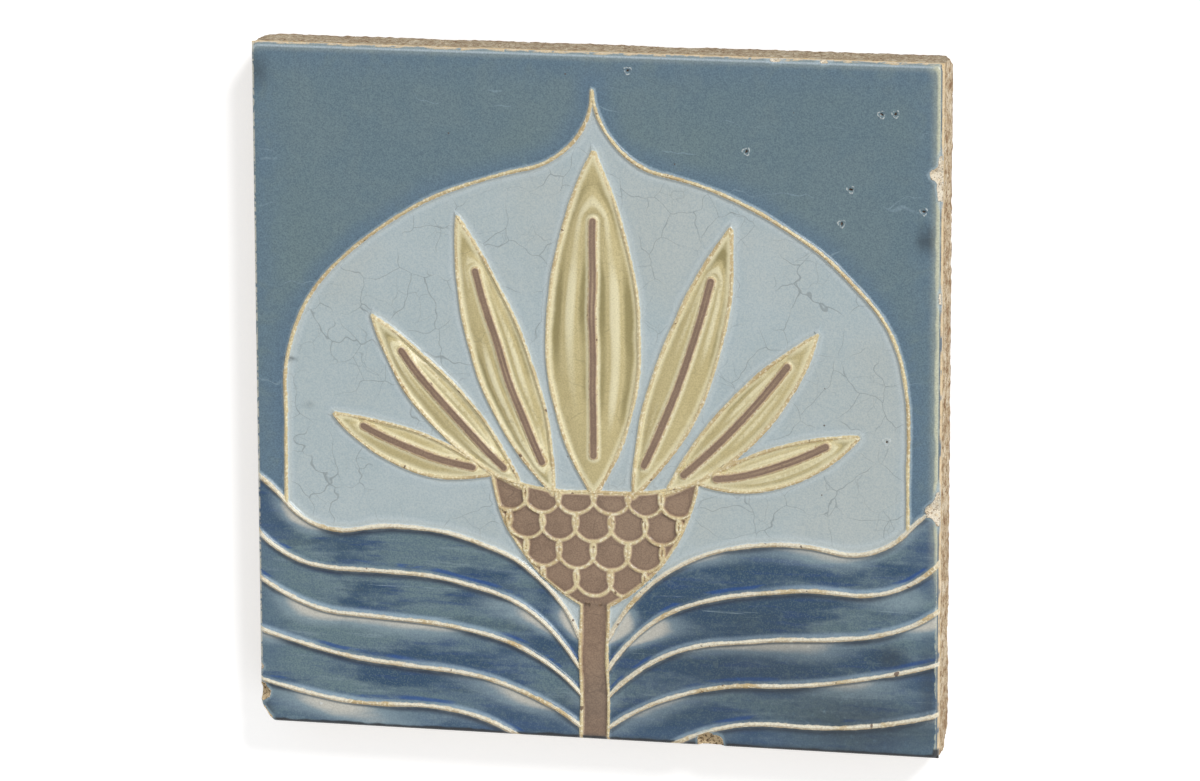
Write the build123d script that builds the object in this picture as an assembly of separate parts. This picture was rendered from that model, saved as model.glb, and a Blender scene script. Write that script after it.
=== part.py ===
"""Square faience wall tile, pressed in one piece of buff clay, with a raised-line palmette on its face.

The tile lies on its keyed back with the glazed face up. The origin is the middle of the back plane,
+X runs to the right of the picture and +Y to its top. Lengths are in millimetres. The picture is laid
out in hundredths of half the tile's side, so that it keeps its place when the side is changed.
"""

from build123d import *
import math
import os

# The slab
SIDE = 203.0  # a nominal 8 inch tile
FIELD_HEIGHT = 17.4  # back plane to the flat glazed ground
RIM_RADIUS = 1.3  # softened edge round the face

# Keying on the back
KEY_COUNT = 7
KEY_WIDTH = 13.0
KEY_PITCH = 24.0
KEY_LENGTH = 168.0
KEY_DEPTH = 1.8
KEY_DRAFT = 20.0  # degrees, so that the clay left the mould

# Raised lines between the glazes
LINE_RISE = 0.9
SCALE_RISE = 0.4  # lines on the bowl, above its crown
ROOT = 0.4  # how far raised work is let into the clay under it
END_SWELL = 0.04  # a line's rounded end is this much fuller than the line
EDGE_SETBACK = 0.5  # lines stop this far inside the tile's sides

# Modelled surfaces
PETAL_RISE = 1.1  # crown of a petal above the ground
VEIN_RISE = 0.5  # petal bar above the crown
BOWL_RISE = 1.2  # crown of the bowl that holds the petals

# Broken corners
FACE_CHIP_X, FACE_CHIP_Y = 4.3, 6.8  # bottom left, through the whole thickness
BACK_CHIP_Y, BACK_CHIP_Z = 5.5, 8.0  # bottom right, at the back only
BACK_CHIP_X = 6.0

# The picture, in hundredths of half the side
UNIT = SIDE / 200.0
LINE_FOOT = 2.0
LINE_CREST = 1.0
VEIN_FOOT = 2.8  # the bar down the middle of each petal
VEIN_CREST = 1.7
STEM_HALF = 4.0
BOWL_TOP = (30.0, -23.0)
BOWL_SIDE = (20.5, -46.0)
BOWL_FOOT = (STEM_HALF, -60.0)
BOWL_SAG = 4.0  # the bowl's lip hangs this far below its ends
SCALE_LINE = 1.4
SCALE_WIDTH = 10.0
SCALE_DROP = 8.0
SCALE_ROWS = 4
ARCH_FOOT = (91.0, -34.0)
ARCH = (ARCH_FOOT, 90.0, (91.0, 0.0), (76.0, 36.0), (20.0, 66.0), (0.0, 90.0))
PAST_EDGE = 103.0  # lines run out to here before they are trimmed to the tile
LEAF_LINES = (
    ((STEM_HALF, -70.0), 66.0, (34.0, -43.0), (70.0, -41.0), ARCH_FOOT, (PAST_EDGE, -24.0)),
    ((STEM_HALF, -79.0), 60.0, (34.0, -56.5), (74.0, -53.0), (PAST_EDGE, -39.0)),
    ((STEM_HALF, -87.0), 50.0, (38.0, -69.0), (74.0, -66.0), (PAST_EDGE, -54.0)),
    ((STEM_HALF, -96.0), 36.0, (46.0, -81.5), (PAST_EDGE, -71.0)),
    ((18.0, -PAST_EDGE), 34.0, (56.0, -92.5), (PAST_EDGE, -86.0)),
)
PETAL_TUCK = 1.2  # the inner petals' feet are this far down behind the lip
# Each petal: how far along the lip its foot is, its tip, how far its left and right edges belly
# out, and how far along it they do
PETALS = (
    (0.0, (0.0, 72.0), 13.5, 13.5, 0.44),
    (11.5, (40.0, 52.0), 6.5, 9.5, 0.46),
    (21.0, (65.0, 22.0), 5.0, 8.0, 0.48),
    (30.0, (77.0, -7.0), 3.5, 7.5, 0.48),
)
VEIN_START, VEIN_END = 0.12, 0.80  # the bar's reach, as shares of the petal's length


def place(point, z=0.0):
    """A point of the picture, as a point of the tile."""
    return Vector(point[0] * UNIT, point[1] * UNIT, z)


def heading(vector):
    """The direction of a vector in the XY plane, in degrees."""
    return math.degrees(math.atan2(vector.Y, vector.X))


def flow(start, degrees, *via):
    """A wire of tangent arcs that leaves start at an angle and passes through each further point."""
    here = place(start)
    edges = []
    for point in via:
        there = place(point)
        chord = there - here
        turn = math.radians(heading(chord) - degrees)
        if abs(math.sin(turn)) < 1e-6:
            edges.append(Line(here, there))
        else:
            away = Vector(math.cos(math.radians(degrees)), math.sin(math.radians(degrees)))
            edges.append(TangentArc(here, there, tangent=away))
        degrees = 2 * heading(chord) - degrees
        here = there
    return Wire(edges)


def petal_edge(foot, tip, belly, share):
    """One edge of a petal: two arcs that belly out to the left of the line from foot to tip."""
    base, point = Vector(*foot), Vector(*tip)
    along = point - base
    left = Vector(-along.Y, along.X).normalized()
    widest = base + along * share + left * belly
    start = 2 * heading(widest - base) - heading(along)
    return flow(foot, start, (widest.X, widest.Y), tip)


def inside(shapes, room):
    """The parts of the shapes that lie inside a room."""
    kept = []
    for shape in shapes:
        for solid in shape.solids():
            common = solid & room
            kept += common.solids() if common else []
    return kept


def mirrored(shapes):
    """The shapes with their mirror images across the middle of the tile."""
    return shapes + [mirror(shape, about=Plane.YZ) for shape in shapes]


def line_section(plane, foot, crest, rise):
    """The drafted cross-section of a raised line, with its root below the plane's X axis."""
    spread = (foot - crest) / 2 * ROOT / rise
    outline = Polyline(
        (-foot / 2 - spread, -ROOT),
        (foot / 2 + spread, -ROOT),
        (crest / 2, rise),
        (-crest / 2, rise),
        close=True,
    )
    return plane * make_face(outline)


def raised_line(path, rise=LINE_RISE, foot=LINE_FOOT, crest=LINE_CREST):
    """A drafted ridge along a flat path, standing on the level ground."""
    rail = path.moved(Location((0, 0, FIELD_HEIGHT)))
    along = rail % 0
    plane = Plane(origin=rail @ 0, x_dir=Vector(0, 0, 1).cross(along), z_dir=along)
    return sweep(line_section(plane, foot * UNIT, crest * UNIT, rise), path=rail)


def round_end(point, rise=LINE_RISE, foot=LINE_FOOT, crest=LINE_CREST):
    """The drafted round end of a raised line, centred on a point of the tile."""
    spread = (foot - crest) / 2 * ROOT / rise
    knob = Cone(
        bottom_radius=(foot / 2 + spread) * UNIT + END_SWELL,
        top_radius=crest / 2 * UNIT + END_SWELL,
        height=rise + ROOT,
        align=(Align.CENTER, Align.CENTER, Align.MIN),
    )
    return Pos(point.X, point.Y, FIELD_HEIGHT - ROOT) * knob


def crowned(outline, rise, axis_start, axis_end, half_width):
    """A closed outline filled with a pillow that is rise high along an axis and falls to its edges."""
    blank = extrude(make_face(outline), rise + ROOT, dir=(0, 0, 1))
    blank = blank.moved(Location((0, 0, FIELD_HEIGHT - ROOT)))
    radius = (half_width**2 + rise**2) / (2 * rise)
    start, end = place(axis_start), place(axis_end)
    middle = (start + end) * 0.5
    length = (end - start).length + 4 * half_width
    lying = Plane(
        origin=(middle.X, middle.Y, FIELD_HEIGHT + rise - radius), z_dir=(end - start).normalized()
    )
    return blank & (lying * Cylinder(radius, length))


def lip():
    """The lip of the bowl."""
    left = (-BOWL_TOP[0], BOWL_TOP[1])
    return ThreePointArc(place(left), place((0, BOWL_TOP[1] - BOWL_SAG)), place(BOWL_TOP))


def on_lip(across, tuck=0.0):
    """The point of the picture on or behind the lip, at a distance from the middle."""
    radius = (BOWL_TOP[0] ** 2 + BOWL_SAG**2) / (2 * BOWL_SAG)
    return (across, BOWL_TOP[1] - BOWL_SAG - tuck + radius - math.sqrt(radius**2 - across**2))


def petal(across, tip, left_belly, right_belly, share):
    """One petal: its pillow, its two edge lines and the bar down its middle."""
    foot = on_lip(across) if across == BOWL_TOP[0] else on_lip(across, PETAL_TUCK)
    left = petal_edge(foot, tip, left_belly, share)
    right = petal_edge(foot, tip, -right_belly, share)
    base, along = Vector(*foot), Vector(*tip) - Vector(*foot)
    drift = (left_belly - right_belly) / 2
    aside = Vector(-along.Y, along.X).normalized() * drift
    ends = [base + aside, base + along + aside]
    half_width = (left_belly + right_belly) / 2 * UNIT
    outline = Wire([*left.edges(), *right.edges()])
    pillow = crowned(outline, PETAL_RISE, *[(end.X, end.Y) for end in ends], half_width)
    low, high = base + along * VEIN_START, base + along * VEIN_END
    vein = petal_edge((low.X, low.Y), (high.X, high.Y), drift * 0.8, share)
    size = (PETAL_RISE + VEIN_RISE, VEIN_FOOT, VEIN_CREST)
    bar = [raised_line(vein, *size), round_end(vein @ 0, *size), round_end(vein @ 1, *size)]
    return [pillow, raised_line(left), raised_line(right), round_end(place(tip)), *bar]


def bowl():
    """The scaled bowl under the petals."""
    right = ThreePointArc(place(BOWL_TOP), place(BOWL_SIDE), place(BOWL_FOOT))
    left = mirror(right, about=Plane.YZ).edge()
    base = Line(place((-STEM_HALF, BOWL_FOOT[1])), place(BOWL_FOOT))
    outline = Wire([lip(), right, base, left])
    crown = crowned(outline, BOWL_RISE, (0, BOWL_TOP[1]), (0, BOWL_FOOT[1]), BOWL_TOP[0] * UNIT)
    network = trace(scallops(), SCALE_LINE * UNIT)
    height = ROOT + BOWL_RISE + SCALE_RISE
    blanks = [extrude(flat, height, dir=(0, 0, 1)) for flat in (network, make_face(outline))]
    scales = inside(blanks[:1], blanks[1])
    scales = [scale.moved(Location((0, 0, FIELD_HEIGHT - ROOT))) for scale in scales]
    lines = [raised_line(Wire(edge)) for edge in (lip(), right, left)]
    ends = [round_end(place((side * BOWL_TOP[0], BOWL_TOP[1]))) for side in (-1, 1)]
    return [crown, *scales, *lines, *ends]


def scallops():
    """Rows of scallops, each row hung from the lowest points of the row above it."""
    arcs = []
    for row in range(SCALE_ROWS):
        level = BOWL_TOP[1] - BOWL_SAG / 2 - row * SCALE_DROP
        count = 2 * math.ceil(BOWL_TOP[0] / SCALE_WIDTH) + row % 2
        for number in range(count):
            start = (number - count / 2) * SCALE_WIDTH
            points = ((start, level), (start + SCALE_WIDTH / 2, level - SCALE_DROP))
            arcs.append(ThreePointArc(*map(place, points), place((start + SCALE_WIDTH, level))))
    return arcs


def stem():
    """The right edge of the stem, from the bowl to the foot of the picture."""
    line = raised_line(Wire(Line(place(BOWL_FOOT), place((STEM_HALF, -PAST_EDGE)))))
    return [line, round_end(place(BOWL_FOOT))]


def picture():
    """The raised work of the face, one group at a time, each trimmed to the tile."""
    trimmed = SIDE - 2 * EDGE_SETBACK
    window = Box(trimmed, trimmed, 2 * FIELD_HEIGHT, align=(Align.CENTER, Align.CENTER, Align.MIN))
    groups = [petal(*PETALS[0]), bowl(), mirrored(stem())]
    groups += [mirrored(petal(*shape)) for shape in PETALS[1:]]
    groups += [mirrored([raised_line(flow(*points))]) for points in LEAF_LINES]
    groups.append([*mirrored([raised_line(flow(*ARCH))]), round_end(place(ARCH[-1]))])
    return [inside(group, window) for group in groups]


def slab():
    """The pressed slab: a rounded rim, and drafted keys in its back."""
    body = Box(SIDE, SIDE, FIELD_HEIGHT, align=(Align.CENTER, Align.CENTER, Align.MIN))
    body = fillet(body.faces().sort_by(Axis.Z)[-1].edges(), RIM_RADIUS)
    key = extrude(Rectangle(KEY_LENGTH, KEY_WIDTH), KEY_DEPTH, taper=KEY_DRAFT)
    first = -(KEY_COUNT - 1) / 2 * KEY_PITCH
    for number in range(KEY_COUNT):
        body -= Pos(0, first + number * KEY_PITCH, 0) * key
    return body


def broken_corners():
    """The two pieces that are missing from the corners."""
    half = SIDE / 2
    left = Polyline((0, 0), (FACE_CHIP_X, 0), (0, FACE_CHIP_Y), close=True)
    through = extrude(make_face(left), 3 * FIELD_HEIGHT, dir=(0, 0, 1), both=True)
    through = Pos(-half, -half, 0) * through
    corner = Vector(half, -half, 0)
    legs = (Vector(-BACK_CHIP_X, 0, 0), Vector(0, BACK_CHIP_Y, 0), Vector(0, 0, BACK_CHIP_Z))
    reach = 1.0  # the cutter starts outside the corner, on the same slope
    tip = corner + Vector(reach, -reach, -reach)
    spread = 1 + sum(reach / leg.length for leg in legs)
    ends = [tip + leg * spread for leg in legs]
    sides = [(tip, ends[0], ends[1]), (tip, ends[1], ends[2]), (tip, ends[2], ends[0]), tuple(ends)]
    wedge = Solid(Shell([make_face(Polyline(*points, close=True)).face() for points in sides]))
    return [through, wedge]


def build_tile():
    """The whole tile as one solid."""
    tile = slab()
    for group in picture():
        tile = tile.fuse(*group)
    for piece in broken_corners():
        tile -= piece
    return tile.solid()


if __name__ == "__main__":
    os.makedirs("parts", exist_ok=True)
    tile = build_tile()
    tile.label = "tile"
    export_step(tile, "parts/tile.step")
    print("volume", round(tile.volume), "size", tile.bounding_box().size, "faces", len(tile.faces()))
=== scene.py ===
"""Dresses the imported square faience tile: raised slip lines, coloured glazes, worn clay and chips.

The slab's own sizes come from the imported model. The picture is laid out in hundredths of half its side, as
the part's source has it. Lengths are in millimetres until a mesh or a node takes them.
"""

import logging
import math
from dataclasses import dataclass, field
from enum import IntEnum
from typing import Any, Iterable

import bpy
import numpy as np
from mathutils import Matrix, Vector, geometry, kdtree, noise

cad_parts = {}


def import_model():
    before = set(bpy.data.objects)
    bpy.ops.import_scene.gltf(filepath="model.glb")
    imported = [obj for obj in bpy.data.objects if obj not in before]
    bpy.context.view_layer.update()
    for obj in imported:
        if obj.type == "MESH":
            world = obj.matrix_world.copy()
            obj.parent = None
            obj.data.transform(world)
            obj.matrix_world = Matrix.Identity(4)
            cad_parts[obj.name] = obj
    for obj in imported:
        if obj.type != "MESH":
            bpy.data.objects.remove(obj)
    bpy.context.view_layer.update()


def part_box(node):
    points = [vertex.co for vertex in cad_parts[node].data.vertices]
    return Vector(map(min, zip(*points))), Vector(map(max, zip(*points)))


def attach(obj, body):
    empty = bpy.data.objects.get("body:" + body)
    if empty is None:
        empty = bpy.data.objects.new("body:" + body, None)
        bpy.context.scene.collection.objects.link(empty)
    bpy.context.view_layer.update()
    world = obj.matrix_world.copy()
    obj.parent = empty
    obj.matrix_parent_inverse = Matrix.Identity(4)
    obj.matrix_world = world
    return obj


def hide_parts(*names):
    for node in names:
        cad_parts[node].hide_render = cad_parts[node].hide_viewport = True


MM = 0.001
SEED = 7
BODY = "root"
NODE = "tile"
LOG = logging.getLogger("tile")

Point = tuple[float, float]
Socket = bpy.types.NodeSocket
Tree = bpy.types.NodeTree
# How strongly a layer shows, the bands it shows in, and its colour as a hex value or a socket.
Layer = tuple[Any, ...]


def linear(code: str) -> tuple[float, float, float, float]:
    """Turns an sRGB hex colour into linear values.

    Args:
        code: The colour, such as "#687c86".

    Returns:
        Linear red, green and blue, and an alpha of 1.
    """
    parts = [int(code[i : i + 2], 16) / 255 for i in (1, 3, 5)]
    red, green, blue = [p / 12.92 if p <= 0.04045 else ((p + 0.055) / 1.055) ** 2.4 for p in parts]
    return red, green, blue, 1.0


def add(tree: Tree, kind: str, feeds: dict | None = None, **settings: Any) -> bpy.types.Node:
    """Adds a node to a tree.

    Args:
        tree: The tree that gets the node.
        kind: The node's type.
        feeds: What each input takes, by name or number: a socket to link, or a value.
        settings: The node's own properties.

    Returns:
        The new node.
    """
    node = tree.nodes.new(kind)
    for name, value in settings.items():
        setattr(node, name, value)
    for key, value in (feeds or {}).items():
        if isinstance(value, Socket):
            tree.links.new(value, node.inputs[key])
        else:
            node.inputs[key].default_value = value
    return node


def per(size: float) -> float:
    """A texture's scale for a feature of a size in millimetres."""
    return 1.0 / (size * MM)


def cover(tree: Tree, strength: float, *bands: tuple[Socket, float, float]) -> Socket:
    """How much of a layer shows at each place.

    Args:
        tree: The material's tree.
        strength: How much shows where every band is full.
        bands: Smooth steps, each a value, where it leaves nothing and where it leaves all.

    Returns:
        The product of the bands, times the strength.
    """
    result = None
    for value, none_at, full_at in bands:
        top = strength if result is None else 1.0
        step = add(
            tree,
            "ShaderNodeMapRange",
            {"Value": value, "From Min": none_at, "From Max": full_at, "To Max": top},
            interpolation_type="SMOOTHSTEP",
        ).outputs[0]
        if result is not None:
            step = add(tree, "ShaderNodeMath", {0: result, 1: step}, operation="MULTIPLY").outputs[0]
        result = step
    return result


def layered(tree: Tree, base: str, layers: Iterable[Layer]) -> Socket:
    """Lays colours over each other.

    Args:
        tree: The material's tree.
        base: The lowest colour, as a hex value.
        layers: The layers, from the lowest up.

    Returns:
        The finished colour.
    """
    colour = linear(base)
    for strength, *bands, tint in layers:
        tint = linear(tint) if isinstance(tint, str) else tint
        feeds = {0: cover(tree, strength, *bands), 6: colour, 7: tint}
        colour = add(tree, "ShaderNodeMix", feeds, data_type="RGBA").outputs[2]
    return colour


def new_material(name: str) -> tuple[bpy.types.Material, Tree, bpy.types.Node, Socket]:
    """Makes a material with a lone shader.

    Args:
        name: The finish's name.

    Returns:
        The material, its tree, its shader and the place on the object, in metres.
    """
    material = bpy.data.materials.new(name)
    material.use_nodes = True
    tree = material.node_tree
    shader = tree.nodes["Principled BSDF"]
    place = add(tree, "ShaderNodeTexCoord").outputs["Object"]
    return material, tree, shader, place


def linked(name: str, data: bpy.types.ID) -> bpy.types.Object:
    """Makes an object of a mesh, lamp or camera and links it to the scene.

    Args:
        name: The object's name.
        data: What it shows.

    Returns:
        The object.
    """
    obj = bpy.data.objects.new(name, data)
    bpy.context.scene.collection.objects.link(obj)
    return obj


def open_group(name: str, **inputs: str) -> tuple[Tree, Any]:
    """Makes a Geometry Nodes group that takes and gives a geometry.

    Args:
        name: The group's name.
        inputs: The kind of each further input, by its name.

    Returns:
        The group and what its inputs hand out.
    """
    tree = bpy.data.node_groups.new(name, "GeometryNodeTree")
    for key, kind in {"Geometry": "Geometry", **inputs}.items():
        tree.interface.new_socket(key, in_out="INPUT", socket_type=f"NodeSocket{kind}")
    tree.interface.new_socket("Geometry", in_out="OUTPUT", socket_type="NodeSocketGeometry")
    return tree, add(tree, "NodeGroupInput").outputs


def close_group(tree: Tree, made: Socket, material: bpy.types.Material) -> Tree:
    """Realizes what a group has made, sets its material and hands it out.

    Args:
        tree: The group.
        made: The geometry that it has made.
        material: The geometry's finish.

    Returns:
        The finished group.
    """
    made = add(tree, "GeometryNodeRealizeInstances", {"Geometry": made}).outputs[0]
    made = add(tree, "GeometryNodeSetMaterial", {"Geometry": made, "Material": material}).outputs[0]
    add(tree, "NodeGroupOutput", {"Geometry": made})
    return tree


class Region(IntEnum):
    """Which glaze or clay a face of the tile shows. The numbers are the mesh's material slots."""

    SLATE = 0
    PALE = 1
    OLIVE = 2
    BROWN = 3
    DEEP = 4
    CLAY = 5


@dataclass(frozen=True)
class Slip:
    """Cream clay slip trailed in lines: bare, sandy, dull, toasted where thin, and painted with shade where
    it faces down.
    """

    name: str = "cream_sandy_slip"
    cream: str = "#d8c99f"
    toasted: str = "#b3976a"
    bright: str = "#efe6cb"
    white: str = "#e3dfd0"
    burnt: str = "#5f4434"

    def colour(self, tree: Tree, place: Socket) -> Socket:
        """The slip's colour: cream, toasted in patches and painted with shade where it faces down, with pale
        grains and a few burnt ones.

        Args:
            tree: The tree that gets the nodes.
            place: The place on the object, in metres.

        Returns:
            The colour.
        """
        sand, patch, spot = (
            add(
                tree, "ShaderNodeTexNoise", {"Vector": place, "Scale": per(size), "Detail": detail}
            ).outputs["Fac"]
            for size, detail in ((0.8, 2.0), (11.0, 2.0), (2.6, 1.0))
        )
        girth = add(tree, "ShaderNodeAttribute", attribute_name="girth").outputs["Fac"]
        facing = add(tree, "ShaderNodeNewGeometry").outputs["Normal"]
        upward = add(tree, "ShaderNodeSeparateXYZ", {0: facing}).outputs["Y"]
        layers = (
            (0.5, (patch, 0.46, 0.66), self.toasted),
            (0.85, (girth, 0.92, 1.0), (patch, 0.72, 0.5), self.white),
            # Painted shade: the flanks that face down the picture take the toasted colour.
            (0.6, (upward, -0.08, -0.4), self.toasted),
            (0.3, (sand, 0.48, 0.36), self.toasted),
            (0.75, (sand, 0.53, 0.64), self.bright),
            (0.85, (spot, 0.72, 0.76), self.burnt),
        )
        return layered(tree, self.cream, layers)

    def material(self) -> bpy.types.Material:
        """The slip on its own, as the crests of the lines show it.

        Returns:
            The material.
        """
        material, tree, shader, place = new_material(self.name)
        tree.links.new(self.colour(tree, place), shader.inputs["Base Color"])
        grain = add(tree, "ShaderNodeTexNoise", {"Vector": place, "Scale": per(0.7), "Detail": 2.0})
        feeds = {"Height": grain.outputs["Fac"], "Distance": 0.1 * MM, "Strength": 0.6}
        bump = add(tree, "ShaderNodeBump", feeds)
        tree.links.new(bump.outputs[0], shader.inputs["Normal"])
        shader.inputs["Roughness"].default_value = 0.32
        return material


@dataclass(frozen=True)
class BareClay:
    """Buff fireclay as it left the mould: dull, sandy, streaked along the sides and dirty in use, with
    painted shade on the side facing up the picture and at the back edge.
    """

    name: str = "buff_fireclay"
    buff: str = "#c4b091"
    brown: str = "#8f7152"
    pale: str = "#e2d5bd"
    dark: str = "#7a5f45"
    top_side_shade: str = "#8f8674"
    fumed: str = "#dabf92"
    fresh: str = "#efe4cf"
    crevice: str = "#5a4530"

    def material(self) -> bpy.types.Material:
        """The clay of the sides and back.

        Returns:
            The material.
        """
        material, tree, shader, place = new_material(self.name)
        streak, grit, broad = (
            add(
                tree,
                "ShaderNodeTexNoise",
                {"Vector": place, "Scale": per(size), "Detail": detail, "Roughness": rough},
            ).outputs["Fac"]
            for size, detail, rough in ((3.4, 6.0, 0.72), (0.9, 3.0, 0.7), (26.0, 3.0, 0.5))
        )
        facing = add(tree, "ShaderNodeNewGeometry").outputs["Normal"]
        upward = add(tree, "ShaderNodeSeparateXYZ", {0: facing}).outputs["Y"]
        chip = add(tree, "ShaderNodeAttribute", attribute_name="chip").outputs["Fac"]
        height = add(tree, "ShaderNodeSeparateXYZ", {0: place}).outputs["Z"]
        layers = (
            (0.95, (streak, 0.50, 0.62), self.brown),
            (0.85, (streak, 0.50, 0.38), self.pale),
            (0.4, (broad, 0.48, 0.70), self.brown),
            # Painted shade: the clay that faces up the picture is painted darker.
            (0.6, (upward, 0.4, 0.8), self.top_side_shade),
            (0.65, (grit, 0.56, 0.68), self.pale),
            (0.9, (grit, 0.47, 0.37), self.dark),
            (0.9, (height, 12.4 * MM, 14.4 * MM), (streak, 0.72, 0.56), self.fumed),
            # Painted shade: darker within 2 mm of the back, where the sides meet the floor.
            (0.5, (height, 2.0 * MM, 0.2 * MM), self.dark),
            (0.7, (chip, 0.6, 0.9), (height, 2.0 * MM, 12.0 * MM), (grit, 0.3, 0.5), self.fresh),
        )
        tree.links.new(layered(tree, self.buff, layers), shader.inputs["Base Color"])
        feeds = {"Height": grit, "Distance": 0.35 * MM, "Strength": 0.9}
        fine = add(tree, "ShaderNodeBump", feeds)
        feeds = {"Height": streak, "Distance": 0.5 * MM, "Strength": 0.7, "Normal": fine.outputs[0]}
        tree.links.new(add(tree, "ShaderNodeBump", feeds).outputs[0], shader.inputs["Normal"])
        shader.inputs["Roughness"].default_value = 0.95
        shader.inputs["Specular IOR Level"].default_value = 0.2
        return material

    def broken(self, tree: Tree, wander: Socket, grime_and_shadow: Socket, rubble: Socket) -> Socket:
        """The colour of the fresh clay in a chip, with dirt in its crevices.

        Args:
            tree: The tree that gets the nodes.
            wander: A noise for the stains.
            grime_and_shadow: How dirty each place is, with painted shadow along the bottom edge, from 0 to 1.
            rubble: A noise for the clay's lumps and crevices.

        Returns:
            The colour.
        """
        layers = (
            (0.4, (wander, 0.50, 0.62), self.fumed),
            (0.8, (grime_and_shadow, 0.15, 0.6), self.fumed),
            (0.75, (rubble, 0.46, 0.39), self.brown),
            (0.9, (rubble, 0.49, 0.41), (grime_and_shadow, 0.25, 0.8), self.crevice),
        )
        return layered(tree, self.fresh, layers)


@dataclass(frozen=True)
class Rim:
    """How the glaze ends at the tile's edge: pale where it thins, then a dark line, then toasted clay, with a
    painted highlight along the top and right edges and a painted shadow along the bottom edge.
    """

    pale: str = "#b3b9ad"
    bright: str = "#bccbd4"
    band: str = "#c9c9ae"
    end: str = "#40566a"
    toasted: str = "#dfc394"
    bare: str = "#dcd8c8"
    foot: str = "#14191f"

    def layers(self, tree: Tree, place: Socket, edge: Socket, wander: Socket) -> list[Layer]:
        """The rim's layers, which differ from side to side as the glaze ran when it was fired, and hold a
        painted highlight along the top and right edges and a painted shadow along the bottom edge.

        Args:
            tree: The glaze's tree.
            place: The place on the object.
            edge: The distance from the tile's edge, in millimetres.
            wander: A noise that breaks the thin lines.

        Returns:
            The layers.
        """
        sized = add(tree, "ShaderNodeVectorMath", {0: place, "Scale": 1 / MM}, operation="SCALE").outputs[0]
        axes = add(tree, "ShaderNodeSeparateXYZ", {0: sized}).outputs
        right, up = axes["X"], axes["Y"]
        feeds = {"Vector": place, "Scale": per(6.0), "Detail": 3.0}
        stray = add(tree, "ShaderNodeTexNoise", feeds).outputs["Fac"]
        swing = add(tree, "ShaderNodeMath", {0: stray, 1: 1.6, 2: -0.8}, operation="MULTIPLY_ADD").outputs[0]
        rim = add(tree, "ShaderNodeMath", {0: edge, 1: swing}, operation="ADD").outputs[0]
        return [
            # Along the top edge: paler where the glaze thins over the rounded edge, and partly a painted
            # highlight.
            (0.25, (edge, 3.2, 1.0), (up, 97.6, 99.8), self.pale),
            (0.5, (edge, 1.35, 1.0), (edge, 0.4, 0.8), (up, 99.0, 100.0), self.bright),
            (0.7, (rim, 0.45, 0.1), (up, 99.8, 100.8), (wander, 0.34, 0.50), self.toasted),
            # Along the right edge: a cream band where the glaze thins over the rounded edge, partly a painted
            # highlight.
            (0.3, (edge, 4.5, 1.0), (right, 96.0, 99.4), (up, -62.0, -30.0), self.band),
            (0.8, (rim, 2.0, 1.2), (rim, 0.3, 0.8), (right, 98.2, 99.7), (up, -60.0, -30.0), self.band),
            (0.5, (rim, 1.2, 0.8), (rim, 0.4, 0.8), (right, 99.2, 100.2), (wander, 0.44, 0.56), self.band),
            (0.45, (rim, 1.0, 0.6), (right, 99.8, 100.6), self.pale),
            (0.85, (edge, 0.75, 0.5), (right, 100.4, 100.8), (stray, 0.3, 0.5), self.end),
            (0.9, (edge, 0.4, 0.2), (right, 100.8, 101.1), (stray, 0.66, 0.5), self.toasted),
            (0.9, (edge, 0.0, -0.5), (up, -100.4, -99.8), self.toasted),
            (0.8, (right, -100.4, -101.0), (wander, 0.40, 0.52), self.bare),
            # Along the bottom edge: a dark line, partly dirt and partly a painted shadow where the rounded
            # edge turns from the light.
            (0.95, (rim, 1.45, 0.85), (up, -98.0, -99.0), self.foot),
        ]


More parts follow.
